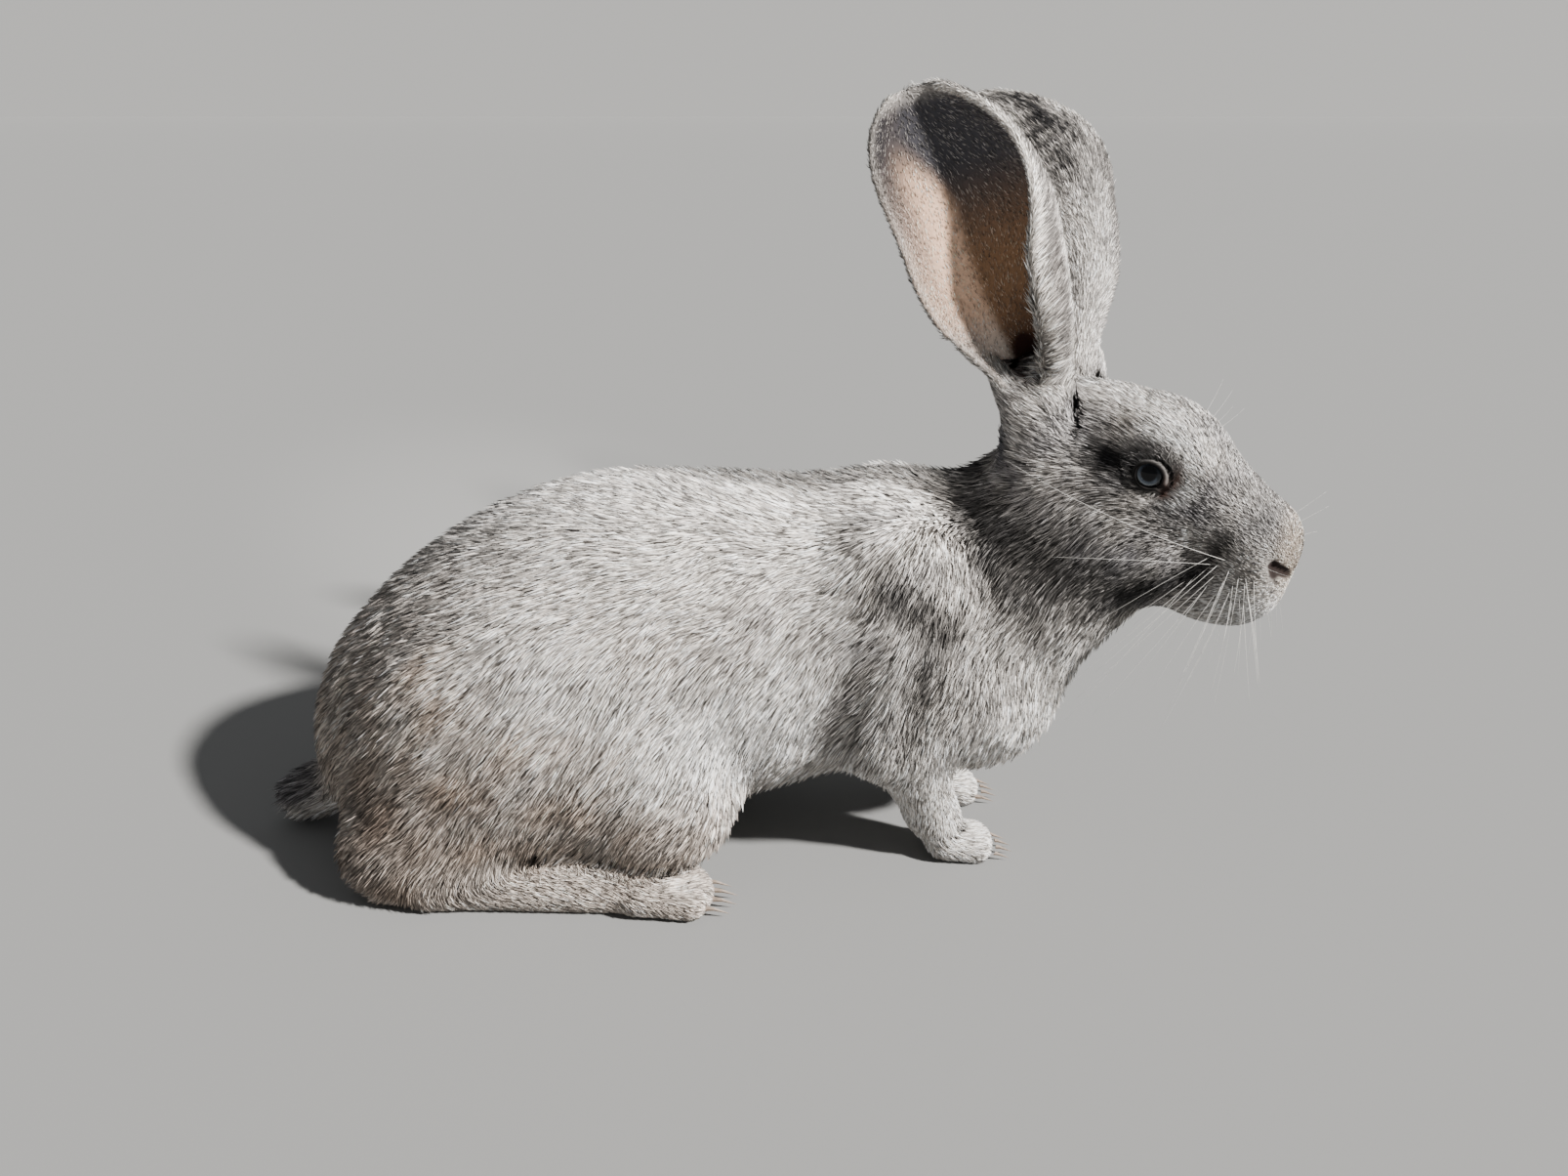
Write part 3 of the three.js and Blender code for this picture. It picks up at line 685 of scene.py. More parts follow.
def ripple(p, size, seed):
    """A smooth random field over space, with swells about `size` mm across."""
    rng = np.random.default_rng(seed)
    waves = unit(rng.normal(size=(MARKING_WAVES, 3))) * rng.uniform(0.6, 1.5, (MARKING_WAVES, 1))
    phases = rng.uniform(0, 2 * np.pi, MARKING_WAVES)
    return np.sin(p @ waves.T * (2 * np.pi / size) + phases).sum(1) / math.sqrt(MARKING_WAVES / 2)


def tone(red, green, blue):
    c = np.array([red, green, blue]) / 255
    return np.where(c > 0.04045, ((c + 0.055) / 1.055) ** 2.4, c / 12.92)


SILVER, ASH, SLATE = tone(196, 190, 184), tone(134, 131, 130), tone(74, 73, 78)
BROWN, PALE, WHITE = tone(158, 140, 124), tone(220, 213, 205), tone(242, 238, 233)
NOSE_VELVET, LID_RIM, EYE_CORNER = tone(196, 180, 165), tone(22, 17, 16), tone(140, 102, 86)
# On the next line: the ear's lining as it shows in light, the same lining painted as in the shadow of the
# ear's front roll, and painted shade for the bottom of the ear's opening and its slit.
EAR_LINING, EAR_LINING_SHADED, EAR_HOLE_SHADE = tone(250, 208, 178), tone(150, 116, 88), tone(48, 26, 22)
# On the next line: a brown-grey, partly painted shade low on the rump and haunch; a near-black, laid as
# painted shade and painted shadow in hollows, creases and under the head, and as the dark fur of the ear
# tips; and the grey of the ears' front roll, partly painted shade.
BROWN_GREY_AND_SHADE, SHADE_AND_DARK_FUR, ROLL_GREY_AND_SHADE = tone(100, 88, 79), tone(17, 16, 18), tone(74, 70, 68)
# Painted shade inside the nostrils.
NOSTRIL_SHADE = tone(46, 27, 23)
# Painted shade in the hollows behind the shoulder and beside the elbow: how dark, from where to where, how
# wide.
SHOULDER_PAINTED_SHADE = [
    (0.8, [46, 0, 148], [72, 0, 133], 8.5),
    (0.5, [66, 0, 128], [57, 0, 88], 6.0),
    (0.45, [36, 0, 112], [24, 0, 86], 6.0),
]


def lay(colour, paint, amount):
    return mix(colour, paint, np.clip(amount, 0, 1)[:, None])


def laid(colour, *coats):
    """The colour under coats of paint, each given with how much of it is laid at each point."""
    for paint, amount in coats:
        colour = lay(colour, paint, amount)
    return colour


def spot(where, at, radii):
    return np.exp(-((((where - at) / radii) ** 2).sum(1)))


def body_markings(p, share, normal):
    side = mirrored(p)
    broad, small, fine = ripple(p, 60, 1), ripple(p, 24, 2), ripple(p, 9, 3)
    x, z = p[:, 0], p[:, 2]
    flank = share["haunch"] + share["trunk"] * smooth(-x, -20, 90)
    rump_top = smooth(-x, 95, 160) * smooth(z, 60, 120) * (share["trunk"] > 0.3)
    low = np.maximum(share["trunk"] * (x < 0), share["haunch"])
    rump_low = low * smooth(-x, 110, 190) * smooth(-z, -98, -56)
    from_side = p * [1, 0, 1]
    # A band of painted shadow, as the head casts on the neck below the cheek.
    head_shadow = (1 - 0.6 * share["head"]) * nearness(from_side, [90, 0, 178], [150, 0, 138], 13)
    colour = laid(
        np.tile(SILVER, (len(p), 1)),
        (ASH, 0.24 + 0.14 * broad + 0.14 * small + 0.10 * fine),
        (BROWN, flank * (0.5 + 0.12 * small) * smooth(-z, -175, -100)),
        # The rump's top, the low rump and the low haunch are darker: partly the coat's own tone and partly
        # painted shade.
        (ASH, 0.3 * rump_top),
        (BROWN_GREY_AND_SHADE, rump_low * (0.45 + 0.08 * small)),
        (BROWN_GREY_AND_SHADE, share["haunch"] * (0.5 + 0.08 * small) * smooth(-z, -90, -40)),
        # Paler patches on the haunch, lower flank and upper flank: partly the coat's own tone and partly
        # painted sunlight.
        (WHITE, 0.55 * spot(side, [-92, 80, 118], [36, 30, 26])),
        (WHITE, 0.75 * spot(side, [-28, 68, 84], [44, 30, 26])),
        (PALE, 0.4 * spot(side, [-38, 58, 148], [50, 30, 26])),
        # Painted shadow of the head on the upper neck, and the band of it below the cheek.
        (SHADE_AND_DARK_FUR, 0.8 * share["neck"] * smooth(normal[:, 2], -0.5, 0.6)),
        (SHADE_AND_DARK_FUR, 0.78 * head_shadow),
        # Painted shade in the shallow hollows behind the shoulder and at the elbow.
        (SLATE, (0.7 + 0.15 * small) * smooth(-hollow_form(p), -9, 0)),
    )
    # Painted shade in the hollows behind each shoulder and beside each elbow.
    for amount, start, end, width in SHOULDER_PAINTED_SHADE:
        shaded = nearness(from_side, start, end, width) * smooth(side[:, 1], 30, 46)
        colour = lay(colour, SHADE_AND_DARK_FUR, amount * shaded)
    return laid(
        colour,
        (PALE, smooth(-normal[:, 2], 0.3, 0.95) * 0.5),
        (PALE, smooth(x, 84, 120) * smooth(-z, -130, -80) * 0.7),
        (PALE, share["foreleg"] * (0.62 + 0.15 * small)),
        (BROWN, share["hind_foot"] * 0.5),
        (SLATE, share["tail"] * smooth(normal[:, 2], -0.4, 0.3) * 0.85),
    )


def head_markings(colour, p, h, head):
    around = mirrored(h)
    hx, hy, hz = around.T
    small, fine = ripple(p, 24, 2), ripple(p, 9, 3)
    cheek = smooth(-hz, -2, 12) * smooth(-hx, -40, -24)
    from_side = around * [1, 0, 1]
    # A band of painted shadow, as cast by the whisker pad, from the mouth's corner back and down over the
    # jaw.
    mouth_corner_shadow = np.maximum(
        nearness(from_side, [40, 0, -12], [38, 0, -28], 4.5),
        nearness(from_side, [38, 0, -28], [14, 0, -50], 7.0),
    )
    from_eye = np.linalg.norm((around - [1.5, 26, 1]) * [1, 0.5, 1], axis=1)
    ahead = smooth(hx + 0.9 * hz, 0, 10)
    ring = np.exp(-(((from_eye - 10.2) / 1.7) ** 2)) * ahead
    arc = np.exp(-(((from_eye - 15.5) / 3.6) ** 2)) * ahead
    muzzle = head * smooth(hx, 36, 54)
    spots = smooth(ripple(p, 3.6, 4), 0.7, 1.5)
    from_tip = np.linalg.norm((h - [68, 0, -8]) * [1, 0.9, 0.8], axis=1)
    lip = smooth(-hz - 0.35 * hx, 2, 16) * smooth(hx, 40, 58)
    on_head = head > 0.4
    front_lid = np.maximum(
        spot(around, [10.5, 25, -4.5], [2.6, 9, 2.2]), 0.85 * spot(around, [11, 24, 1], [3.4, 9, 5])
    )
    colour = laid(
        colour,
        (ASH, head * (0.42 + 0.2 * small)),
        # The cheeks are darker: partly their fur's own tone and partly painted shade.
        (SLATE, head * cheek * (0.55 + 0.2 * small + 0.1 * fine)),
        # Painted shade under the jaw.
        (SHADE_AND_DARK_FUR, head * smooth(-hz, 32, 44) * smooth(-hx, -34, -20) * 0.8),
        (SILVER, head * smooth(hz, 8, 22) * smooth(-hx, -8, 30) * 0.8),
        # A pale patch on the cheek below the eye: partly pale fur and partly a painted highlight.
        (PALE, head * spot(around, [24, 24, -16], [13, 12, 5]) * (0.45 + 0.3 * fine)),
        # Painted shadow at the corner of the mouth.
        (SHADE_AND_DARK_FUR, 0.9 * smooth(head, 0.1, 0.5) * mouth_corner_shadow * smooth(hy, 6, 12)),
        # Painted shade in the crease round the lids.
        (SLATE, head * ring * 0.4),
        (SLATE, head * spot(around, [24, 22, 4], [3.5, 9, 9]) * 0.55),
        (WHITE, head * arc * 0.75),
        # Painted shadow behind the eye, as cast by the brow and cheek.
        (SHADE_AND_DARK_FUR, head * 1.9 * spot(around, [-14.5, 29, -2.5], [12, 14, 8.5])),
        (PALE, muzzle * smooth(-hz, 2, 16) * 0.75),
        (SLATE, muzzle * spots * smooth(-hz, 4, 14) * smooth(hy, 5, 12) * 0.9),
        (NOSE_VELVET, head * smooth(-from_tip, -21, -9) * 0.9),
        (WHITE, head * lip * (1.0 - 0.15 * spots)),
        (LID_RIM, on_head * smooth(-eye_opening(around), -1.7, -0.8) * 0.95),
        (EYE_CORNER, on_head * front_lid * 0.8),
        # Painted shade inside the nostrils.
        (NOSTRIL_SHADE, on_head * smooth(-nostril_form(around), -0.7, 0.1)),
        # Painted shade in the furrow before each ear's root.
        (SLATE, on_head * 0.5 * nearness(around, *EAR_FURROW[:2], 5.5)),
        # Painted shade in the crease behind each ear's slit.
        (SHADE_AND_DARK_FUR, on_head * 0.75 * nearness(around, *EAR_CREASE[:2], 1.5)),
    )
    return colour * (1 + 0.06 * small + 0.05 * fine)[:, None]


def above_sheet(p, place):
    """How far each point is from its place on an ear's sheet, toward the ear's open side."""
    return ((p - ear_points[place]) * ear_normals[place]).sum(1)


def ear_markings(p, head_colour, place):
    t, s = ear_t[place], ear_s[place]
    inside = smooth(above_sheet(p, place), -0.4, 0.4)
    swell, fleck = ripple(p, 22, 5), ripple(p, 3.5, 6)
    outer = laid(
        np.tile(SILVER, (len(p), 1)),
        (ASH, 0.25 + 0.15 * swell + 0.2 * fleck),
        (SHADE_AND_DARK_FUR, smooth(t, 0.4, 0.78) * (0.62 + 0.2 * swell + 0.15 * fleck)),
        # The front roll's outer side is darker: partly its own grey and partly painted shade.
        (ROLL_GREY_AND_SHADE, smooth(s, 0.5, 0.75) * smooth(-t, -0.85, -0.5) * (0.9 + 0.12 * fleck)),
    )
    outer = mix(head_colour, outer, smooth(t, 0.04, 0.26)[:, None])
    lining = laid(
        np.tile(EAR_LINING, (len(p), 1)),
        (SILVER, smooth(-t, -0.42, -0.26) * 0.8),
        (SLATE, smooth(-s, 0.66, 0.92) * (0.4 + 0.5 * smooth(t, 0.3, 0.85))),
        (SLATE, smooth(t, 0.74, 0.9) * 0.9),
        (SHADE_AND_DARK_FUR, smooth(t, 0.55, 0.92) * smooth(-s, 0.45, 0.9) * 0.5),
    )
    # The lining painted as it lies in the shadow of the ear's front roll, turning to painted shade at the
    # bottom of the opening and to grey fur toward the top.
    deep = laid(
        np.tile(EAR_LINING_SHADED, (len(p), 1)),
        (EAR_HOLE_SHADE, smooth(-t + 0.1 * s, -0.48, -0.2)),
        (SLATE, smooth(t, 0.5, 0.8)),
    )
    # The edge of that painted shadow across the lining, and how far each point lies in it.
    shadow_edge = -0.51 - 0.35 * smooth(t, 0.66, 0.92) + 0.2 * smooth(-t, -0.2, -0.1)
    in_roll_shadow = smooth(s - shadow_edge, -0.07, 0.05 + 0.25 * smooth(t, 0.6, 0.9))
    inner = lay(mix(lining, deep, in_roll_shadow[:, None]), ASH, smooth(s, 0.72, 0.92))
    return laid(
        mix(outer, inner, inside[:, None]),
        (PALE, smooth(np.abs(s), 0.93, 1.0) * np.where(s > 0, 0.7, 0.35)),
        (PALE, smooth(t, 0.94, 0.985) * 0.4),
    )


def markings(p, h, share, normal, nearest):
    """The colour of the skin and of the hair at its root, at each point."""
    colour = head_markings(body_markings(p, share, normal), p, h, share["head"])
    around = mirrored(h)
    open_side = smooth(around[:, 1], 20, 24)
    ear = np.flatnonzero(nearest >= 0)
    colour[ear] = ear_markings(p[ear], colour[ear], nearest[ear])
    open_side[ear] *= smooth(above_sheet(p[ear], nearest[ear]), -0.8, 0.0)
    # Painted shade in the bottom of each ear's opening and in its slit, on the open side only.
    colour = lay(colour, EAR_HOLE_SHADE, open_side * smooth(ear_depth(around), 0.35, 0.65))
    return np.clip(colour, 0, 1)


def lie_of_hair(p, h, share, nearest):
    """The way that the hair points, along the skin."""
    x, y, z = p[:, 0], np.abs(p[:, 1]), p[:, 2]
    ones = np.ones(len(p))

    def flow(fx, fz):
        return np.stack([fx * ones, 0 * ones, fz * ones], 1)

    side = smooth(y, 12, 62)
    over_rump = smooth(-x, 95, 200)
    trunk = flow(mix(-1, -0.6, over_rump), mix(-0.2 - 0.6 * side, -0.9, over_rump))
    trunk = mix(trunk, flow(-0.25, -1), smooth(x, 40, 92)[:, None])
    ways = {
        "trunk": trunk,
        "neck": flow(-0.7, -0.75),
        "haunch": flow(-0.68, -0.80),
        "shoulder": flow(-0.42, -0.92),
        "hind_foot": flow(1, -0.1),
        "foreleg": mix(flow(0.1, -1), flow(0.9, -0.4), smooth(-z, -22, -10)[:, None]),
        "tail": flow(-0.9, -0.45),
    }
    from_nose = unit(h - [78, 0, -22])
    from_nose[:, 2] -= 0.25 * smooth(-h[:, 2], 5, 30)
    away = h - LIDS_MIDDLE * np.stack([ones, np.sign(h[:, 1]), ones], 1)
    gap = np.linalg.norm(away, axis=1, keepdims=True)
    from_nose = from_nose + 1.1 * unit(away) * smooth(-gap, -16, -6)
    ways["head"] = from_nose @ HEAD_TURN.T
    way = sum(share[name][:, None] * unit(ways[name]) for name in share)
    ear = np.flatnonzero(nearest >= 0)
    place = nearest[ear]
    rim = 0.15 * np.sign(ear_s[place]) * smooth(np.abs(ear_s[place]), 0.5, 1.0)
    rim += 1.1 * smooth(ear_s[place], 0.35, 0.8) * smooth(-ear_t[place], -0.85, -0.5)
    round_ear = np.cross(ear_normals[place], ear_ups[place])
    way[ear] = ear_ups[place] + round_ear * rim[:, None]
    return way


def along_skin(way, normal, p):
    """The lie, laid flat on the skin and ruffled into locks."""
    way = unit(way - normal * (way * normal).sum(1, keepdims=True))
    across = np.cross(normal, way)
    ruffle = 0.11 * ripple(p, 40, 11) + 0.05 * ripple(p, 12, 12)
    return unit(way + across * ruffle[:, None])


def painted(mesh, colours):
    layer = mesh.color_attributes.new("coat_colour", "FLOAT_COLOR", "POINT")
    rgba = np.ones((len(mesh.vertices), 4), np.float32)
    rgba[:, :3] = colours
    layer.data.foreach_set("color", rgba.ravel())


def hair_finish(name, roughness, grain, sheen):
    """Soft hair: its own colours with a fine grain, a rough bumpy surface and a faint sheen."""
    finish = new_finish(name)
    paint = add_node(finish, "Attribute", {}, attribute_name="coat_colour")
    place = add_node(finish, "TexCoord", {})
    grain_sizes = {"Vector": place.outputs["Object"], "Scale": grain, "Detail": 4.0}
    speck = add_node(finish, "TexNoise", grain_sizes).outputs["Fac"]
    depth = add_node(finish, "MapRange", {"Value": speck, "To Min": 0.72, "To Max": 1.28})
    grained = {0: paint.outputs["Color"], "Scale": depth.outputs["Result"]}
    shade = add_node(finish, "VectorMath", grained, operation="SCALE")
    spread = {"Value": speck, "To Min": roughness - 0.12, "To Max": roughness + 0.12}
    rough = add_node(finish, "MapRange", spread)
    relief = add_node(finish, "Bump", {"Height": speck, "Strength": 0.35, "Distance": 0.0004})
    shader_sockets = {
        "Base Color": shade.outputs["Vector"],
        "Roughness": rough.outputs["Result"],
        "Normal": relief.outputs["Normal"],
        "Sheen Weight": sheen,
        "Sheen Roughness": 0.45,
        "Specular IOR Level": 0.15,
    }
    fill_shader(finish, shader_sockets)
    return finish


skin_normals = listed(one_skin.vertex_normals, "vector").astype(float)
skin_ear_place = np.where(of_the_ear, on_ear, -1)
skin_parts = shares_of(parts_at(skin_points))
in_open_ear = (skin_ear_place >= 0) & (above_sheet(skin_points, skin_ear_place) > 0)
# The bare skin under the coat is painted much darker than the hair, as painted shade between the tufts;
# inside the open ear, where the hair is sparse, much less so.
skin_painted_shade = np.where(in_open_ear, 0.9, 0.38)[:, None]
skin_colours = markings(skin_points, to_head(skin_points), skin_parts, skin_normals, skin_ear_place)
painted(one_skin, skin_painted_shade * skin_colours)
one_skin.materials.clear()
one_skin.materials.append(hair_finish("skin_finish", 0.8, 900.0, 0.04))

# The skin laid out flat, for the places of the tufts' patches.
bpy.context.view_layer.objects.active = skin
skin.select_set(True)
one_skin.uv_layers.new(name="OFBake")
bpy.ops.object.mode_set(mode="EDIT")
bpy.ops.mesh.select_all(action="SELECT")
bpy.ops.uv.smart_project(angle_limit=math.radians(70), island_margin=0.001)
bpy.ops.object.mode_set(mode="OBJECT")
skin.select_set(False)
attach(skin, "root")
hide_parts(*FLESH)


# ---- Coat -------------------------------------------------------------------------------------
# Fur in small tufts of hair, rooted in the skin and lying along the body in overlapping layers,
# with their tips at the outline of the solids. It is longest on the rump, back and belly, and
# shortest on the face, ears and feet. A few longer guard hairs stand a little proud of it.

TUFTS = 348000
TUFTS_IN_PIECE = 48000
TUFT_PATCH = 0.003
HAIR = {  # its length, its width and how thickly it grows
    "trunk": (9.5, 0.36, 0.9),
    "neck": (8.5, 0.34, 1.0),
    "haunch": (9.5, 0.36, 0.95),
    "shoulder": (8.5, 0.34, 1.1),
    "hind_foot": (4.5, 0.30, 1.3),
    "foreleg": (5.0, 0.30, 1.5),
    "tail": (11.0, 0.38, 1.1),
    "head": (2.0, 0.20, 2.3),
}
EAR_HAIR_WIDTH = 0.24
BARE_BY_LIDS = 1.1
BARE_BY_NOSTRILS = 0.5
ABOVE_FLOOR = 0.6
ROOT_SUNK = 0.4
RING_AT = 0.42  # how far along a tuft its widest ring lies, and how high beside its tip
RING_RISE = 0.62
GUARD_REACH = 1.25  # how far the guard hairs reach, beside the depth of the coat
shuffle = np.random.default_rng(29)

one_skin.calc_loop_triangles()
corners = listed(one_skin.loop_triangles, "vertices", np.int32)
loops = listed(one_skin.loop_triangles, "loops", np.int32)
flat_places = listed(one_skin.uv_layers["OFBake"].data, "uv", width=2)[loops].mean(1)
a, b, c = (skin_points[corners[:, n]] for n in range(3))
middles = (a + b + c) / 3
areas = np.linalg.norm(np.cross(b - a, c - a), axis=1) / 2
share_of_face = {name: v[corners[:, 0]] for name, v in skin_parts.items()}
face_head = mirrored(to_head(middles))
density = sum(share_of_face[name] * HAIR[name][2] for name in share_of_face)
face_ear = skin_ear_place[corners[:, 0]]
of_ear = face_ear >= 0
rim_of_ear = smooth(np.abs(ear_s[face_ear]), 0.75, 1.0)
inside_ear = above_sheet(middles, face_ear) > 0
density = np.where(of_ear, mix(np.where(inside_ear, 0.7, 1.7), 2.4, rim_of_ear), density)
bare = (eye_opening(face_head) < BARE_BY_LIDS) | (nostril_form(face_head) < BARE_BY_NOSTRILS)
bare &= (share_of_face["head"] > 0.3) & ~of_ear
face_to_eye = np.linalg.norm(np.abs(face_head) - LIDS_MIDDLE, axis=1)
density *= 1 + 0.9 * share_of_face["head"] * smooth(-face_to_eye, -16, -10)
density *= 1 + 1.6 * nearness(face_head, *EAR_FURROW[:2], 5.0)
bare |= (ear_depth(face_head) > 0.64) & (inside_ear | ~of_ear) & (face_head[:, 1] > 22)
density[bare | (middles[:, 2] < ABOVE_FLOOR)] = 0
chance = areas * density
chosen = shuffle.choice(len(corners), TUFTS, p=chance / chance.sum())
u, v = shuffle.random((2, TUFTS))
u, v = np.where(u + v > 1, [1 - u, 1 - v], [u, v])
weights = np.stack([1 - u - v, u, v], 1)[:, :, None]
root = (skin_points[corners[chosen]] * weights).sum(1)
normal = unit((skin_normals[corners[chosen]] * weights).sum(1))
place = face_ear[chosen]
on_an_ear = place >= 0
in_head = to_head(root)
share = shares_of(parts_at(root))
way = along_skin(lie_of_hair(root, in_head, share, place), normal, root)
way = unit(way + 0.11 * shuffle.normal(size=(TUFTS, 3)))

from_nose = np.linalg.norm(in_head - NOSE_TIP, axis=1)
to_eye = np.linalg.norm(mirrored(in_head) - LIDS_MIDDLE, axis=1)
length = sum(share[name] * HAIR[name][0] for name in share)
length += share["head"] * 5.5 * smooth(from_nose, 14, 105)
length *= mix(1, mix(0.3, 1, smooth(to_eye, 6, 17)), share["head"])
width = sum(share[name] * HAIR[name][1] for name in share)
width += share["head"] * 0.09 * smooth(from_nose, 20, 100)
width *= mix(1, mix(0.65, 1, smooth(to_eye, 10, 17)), share["head"])
depth = coat_depth(share, in_head)
depth *= mix(1, mix(0.45, 1, smooth(to_eye, 7, 15)), share["head"])
edge = smooth(np.abs(ear_s[place]), 0.72, 1.0)
at_front = smooth(ear_s[place], 0.6, 1.0) * smooth(-ear_t[place], -0.75, -0.35)
inside = above_sheet(root, place) > 0
length = np.where(on_an_ear, np.where(inside, 2.4, 3.8) - 0.8 * edge + 5.5 * at_front, length)
width = np.where(on_an_ear, EAR_HAIR_WIDTH, width)
depth = np.where(on_an_ear, 0.6 + 0.1 * edge + 1.1 * at_front, depth)

reach = shuffle.beta(2.6, 1.6, TUFTS)
at_rump = smooth(-root[:, 0], 120, 200)
guard = shuffle.random(TUFTS) < (0.04 + 0.08 * at_rump) * (depth > 3)
reach = np.where(guard, GUARD_REACH, mix(0.35, 1.05, reach))
length *= mix(0.7, 1.25, shuffle.random(TUFTS)) * np.where(guard, 1.3, 1.0)
width *= mix(0.75, 1.2, shuffle.random(TUFTS)) * np.where(guard, 0.7, 1.0)
lift = (depth * reach)[:, None]
tip = root + way * np.sqrt(np.maximum((length[:, None]) ** 2 - lift**2, 1)) + normal * lift
ring = root + (tip - root) * RING_AT + normal * lift * (RING_RISE - RING_AT)


def outline(p):
    return outline_from(parts_at(p), p)


over_body = ~on_an_ear
tip[over_body] = drawn_to(outline, tip[over_body], (lift[:, 0] - depth)[over_body], turns=1)
ring[over_body] = drawn_to(outline, ring[over_body], (RING_RISE * lift[:, 0] - depth)[over_body], turns=1)
tip[:, 2] = np.maximum(tip[:, 2], ABOVE_FLOOR)
ring[:, 2] = np.maximum(ring[:, 2], ABOVE_FLOOR)
forward = unit(tip - root)
sideways = unit(np.cross(normal, forward))
half = (width / 2)[:, None]
sunk = root - normal * ROOT_SUNK
tuft_points = np.stack([sunk, ring + sideways * half, ring - sideways * half, tip], 1)
behind_eye = share["head"] * smooth(-to_eye, -15, -11) * smooth(-in_head[:, 0], -2, 4)
lean = unit(normal + way * 1.5 * behind_eye[:, None] + 0.16 * shuffle.normal(size=(TUFTS, 3)))
tuft_normals = unit(np.stack([lean, lean + 0.4 * sideways, lean - 0.4 * sideways, lean + 0.2 * forward], 1))

base = markings(root, in_head, share, normal, place)
base[on_an_ear & inside] = mix(base[on_an_ear & inside], PALE, 0.2)
calm = mix(1, mix(0.35, 1, smooth(to_eye, 8, 16)), share["head"])
shading = 0.7 * calm * np.clip(shuffle.normal(size=TUFTS), -2.1, 1.2)
patches = 0.08 * ripple(root, 2.6, 20) + 0.08 * ripple(root, 7, 21) + 0.09 * ripple(root, 18, 22)
lightness = np.exp(shading + patches)
silver_tip = np.where(shuffle.random(TUFTS) < 0.3, 1.8, 1.05)
# Each tuft is darker at its root: partly the undercoat's own tone and partly painted shade between the
# tufts.
shades = np.stack([0.4 * lightness, 0.9 * lightness, 0.9 * lightness, lightness * silver_tip], 1)
tuft_colours = np.clip(base[:, None, :] * shades[:, :, None], 0, 0.9)

# A tuft's corners are its root, its left and right sides and its tip. Its two upper faces take
# the left half of its patch, and its two lower ones the right half.
TUFT_FACES = np.array([(0, 2, 1), (3, 1, 2), (0, 1, 3), (0, 3, 2)])
TUFT_PLACES = [
    (0.25, 0), (0.5, 0.5), (0, 0.5), (0.25, 1), (0, 0.5), (0.5, 0.5),
    (0.5, 0), (0.75, 0.5), (0.5, 1), (0.75, 0), (0.75, 1), (1, 0.5),
]
TUFT_PLACES = (np.array(TUFT_PLACES) - 0.5) * TUFT_PATCH


def coat_piece(name, picked, finish):
    """One piece of the coat, from the tufts that are picked."""
    many = len(picked)
    faces = (TUFT_FACES[None] + 4 * np.arange(many)[:, None, None]).reshape(-1, 3)
    points = (tuft_points[picked].reshape(-1, 3) - FORMS_MIDDLE) * MM
    mesh = bpy.data.meshes.new(name)
    mesh.from_pydata(points.astype(np.float32), [], faces)
    painted(mesh, tuft_colours[picked].reshape(-1, 3))
    flat = mesh.uv_layers.new(name="OFBake")
    spots = flat_places[chosen[picked]][:, None, :] + TUFT_PLACES[None]
    flat.data.foreach_set("uv", np.clip(spots, 0, 1).astype(np.float32).ravel())
    mesh.polygons.foreach_set("use_smooth", np.ones(many * 4, bool))
    mesh.normals_split_custom_set_from_vertices(tuft_normals[picked].reshape(-1, 3).astype(np.float32))
    mesh.materials.append(finish)
    piece = linked(name, mesh)
    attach(piece, "root")
    return piece


share_names = list(share)
strongest = np.array(share_names)[np.argmax([share[name] for name in share_names], axis=0)]
places_on_body = [
    on_an_ear,
    strongest == "head",
    np.isin(strongest, ["neck", "shoulder", "foreleg"]),
    np.isin(strongest, ["haunch", "hind_foot"]),
    root[:, 0] > -40,
]
part_of_coat = np.select(places_on_body, ["ears", "head", "foreparts", "haunches", "chest"], "rump")
fur = hair_finish("fur_finish", 0.68, 1300.0, 0.08)
for part in ("rump", "haunches", "chest", "foreparts", "head", "ears"):
    members = np.flatnonzero(part_of_coat == part)
    pieces = math.ceil(len(members) / TUFTS_IN_PIECE)
    for n, picked in enumerate(np.array_split(members, pieces)):
        piece = coat_piece(f"coat_{part}_{n + 1}", picked, fur)


# ---- Eyes -------------------------------------------------------------------------------------
# Wet glossy eyeballs, each with a round dark pupil in a blue-grey iris with fine rays and a dark
# edge, the iris with a painted shadow toward its top and painted light toward the back. They sit
# in the sockets, and the lids close over all but their fronts.

PUPIL_EDGE = 0.27  # shares of the way from the middle of the iris round to the ball's side
IRIS_EDGE = 0.46
IRIS_TONES = [
    (PUPIL_EDGE, tone(1, 1, 2)), (PUPIL_EDGE + 0.02, tone(22, 25, 30)), (0.33, tone(40, 45, 52)),
    (0.39, tone(56, 61, 67)), (IRIS_EDGE - 0.03, tone(84, 87, 90)), (IRIS_EDGE, tone(4, 4, 5)),
    (0.60, tone(20, 16, 15)),
]
BALL_RADIUS = EYE_RADIUS * MM
GAZE = (-0.06, 1.0, 0.12)


def iris_rings(finish, share):
    """The colours of the pupil, the iris and the ball round it, from the middle outward."""
    rings = add_node(finish, "ValToRGB", {"Fac": share})
    ramp = rings.color_ramp
    for element, (position, colour) in zip(ramp.elements, (IRIS_TONES[0], IRIS_TONES[-1])):
        element.position = position
        element.color = (*colour, 1)
    for position, colour in IRIS_TONES[1:-1]:
        ramp.elements.new(position).color = (*colour, 1)
    return rings.outputs["Color"]


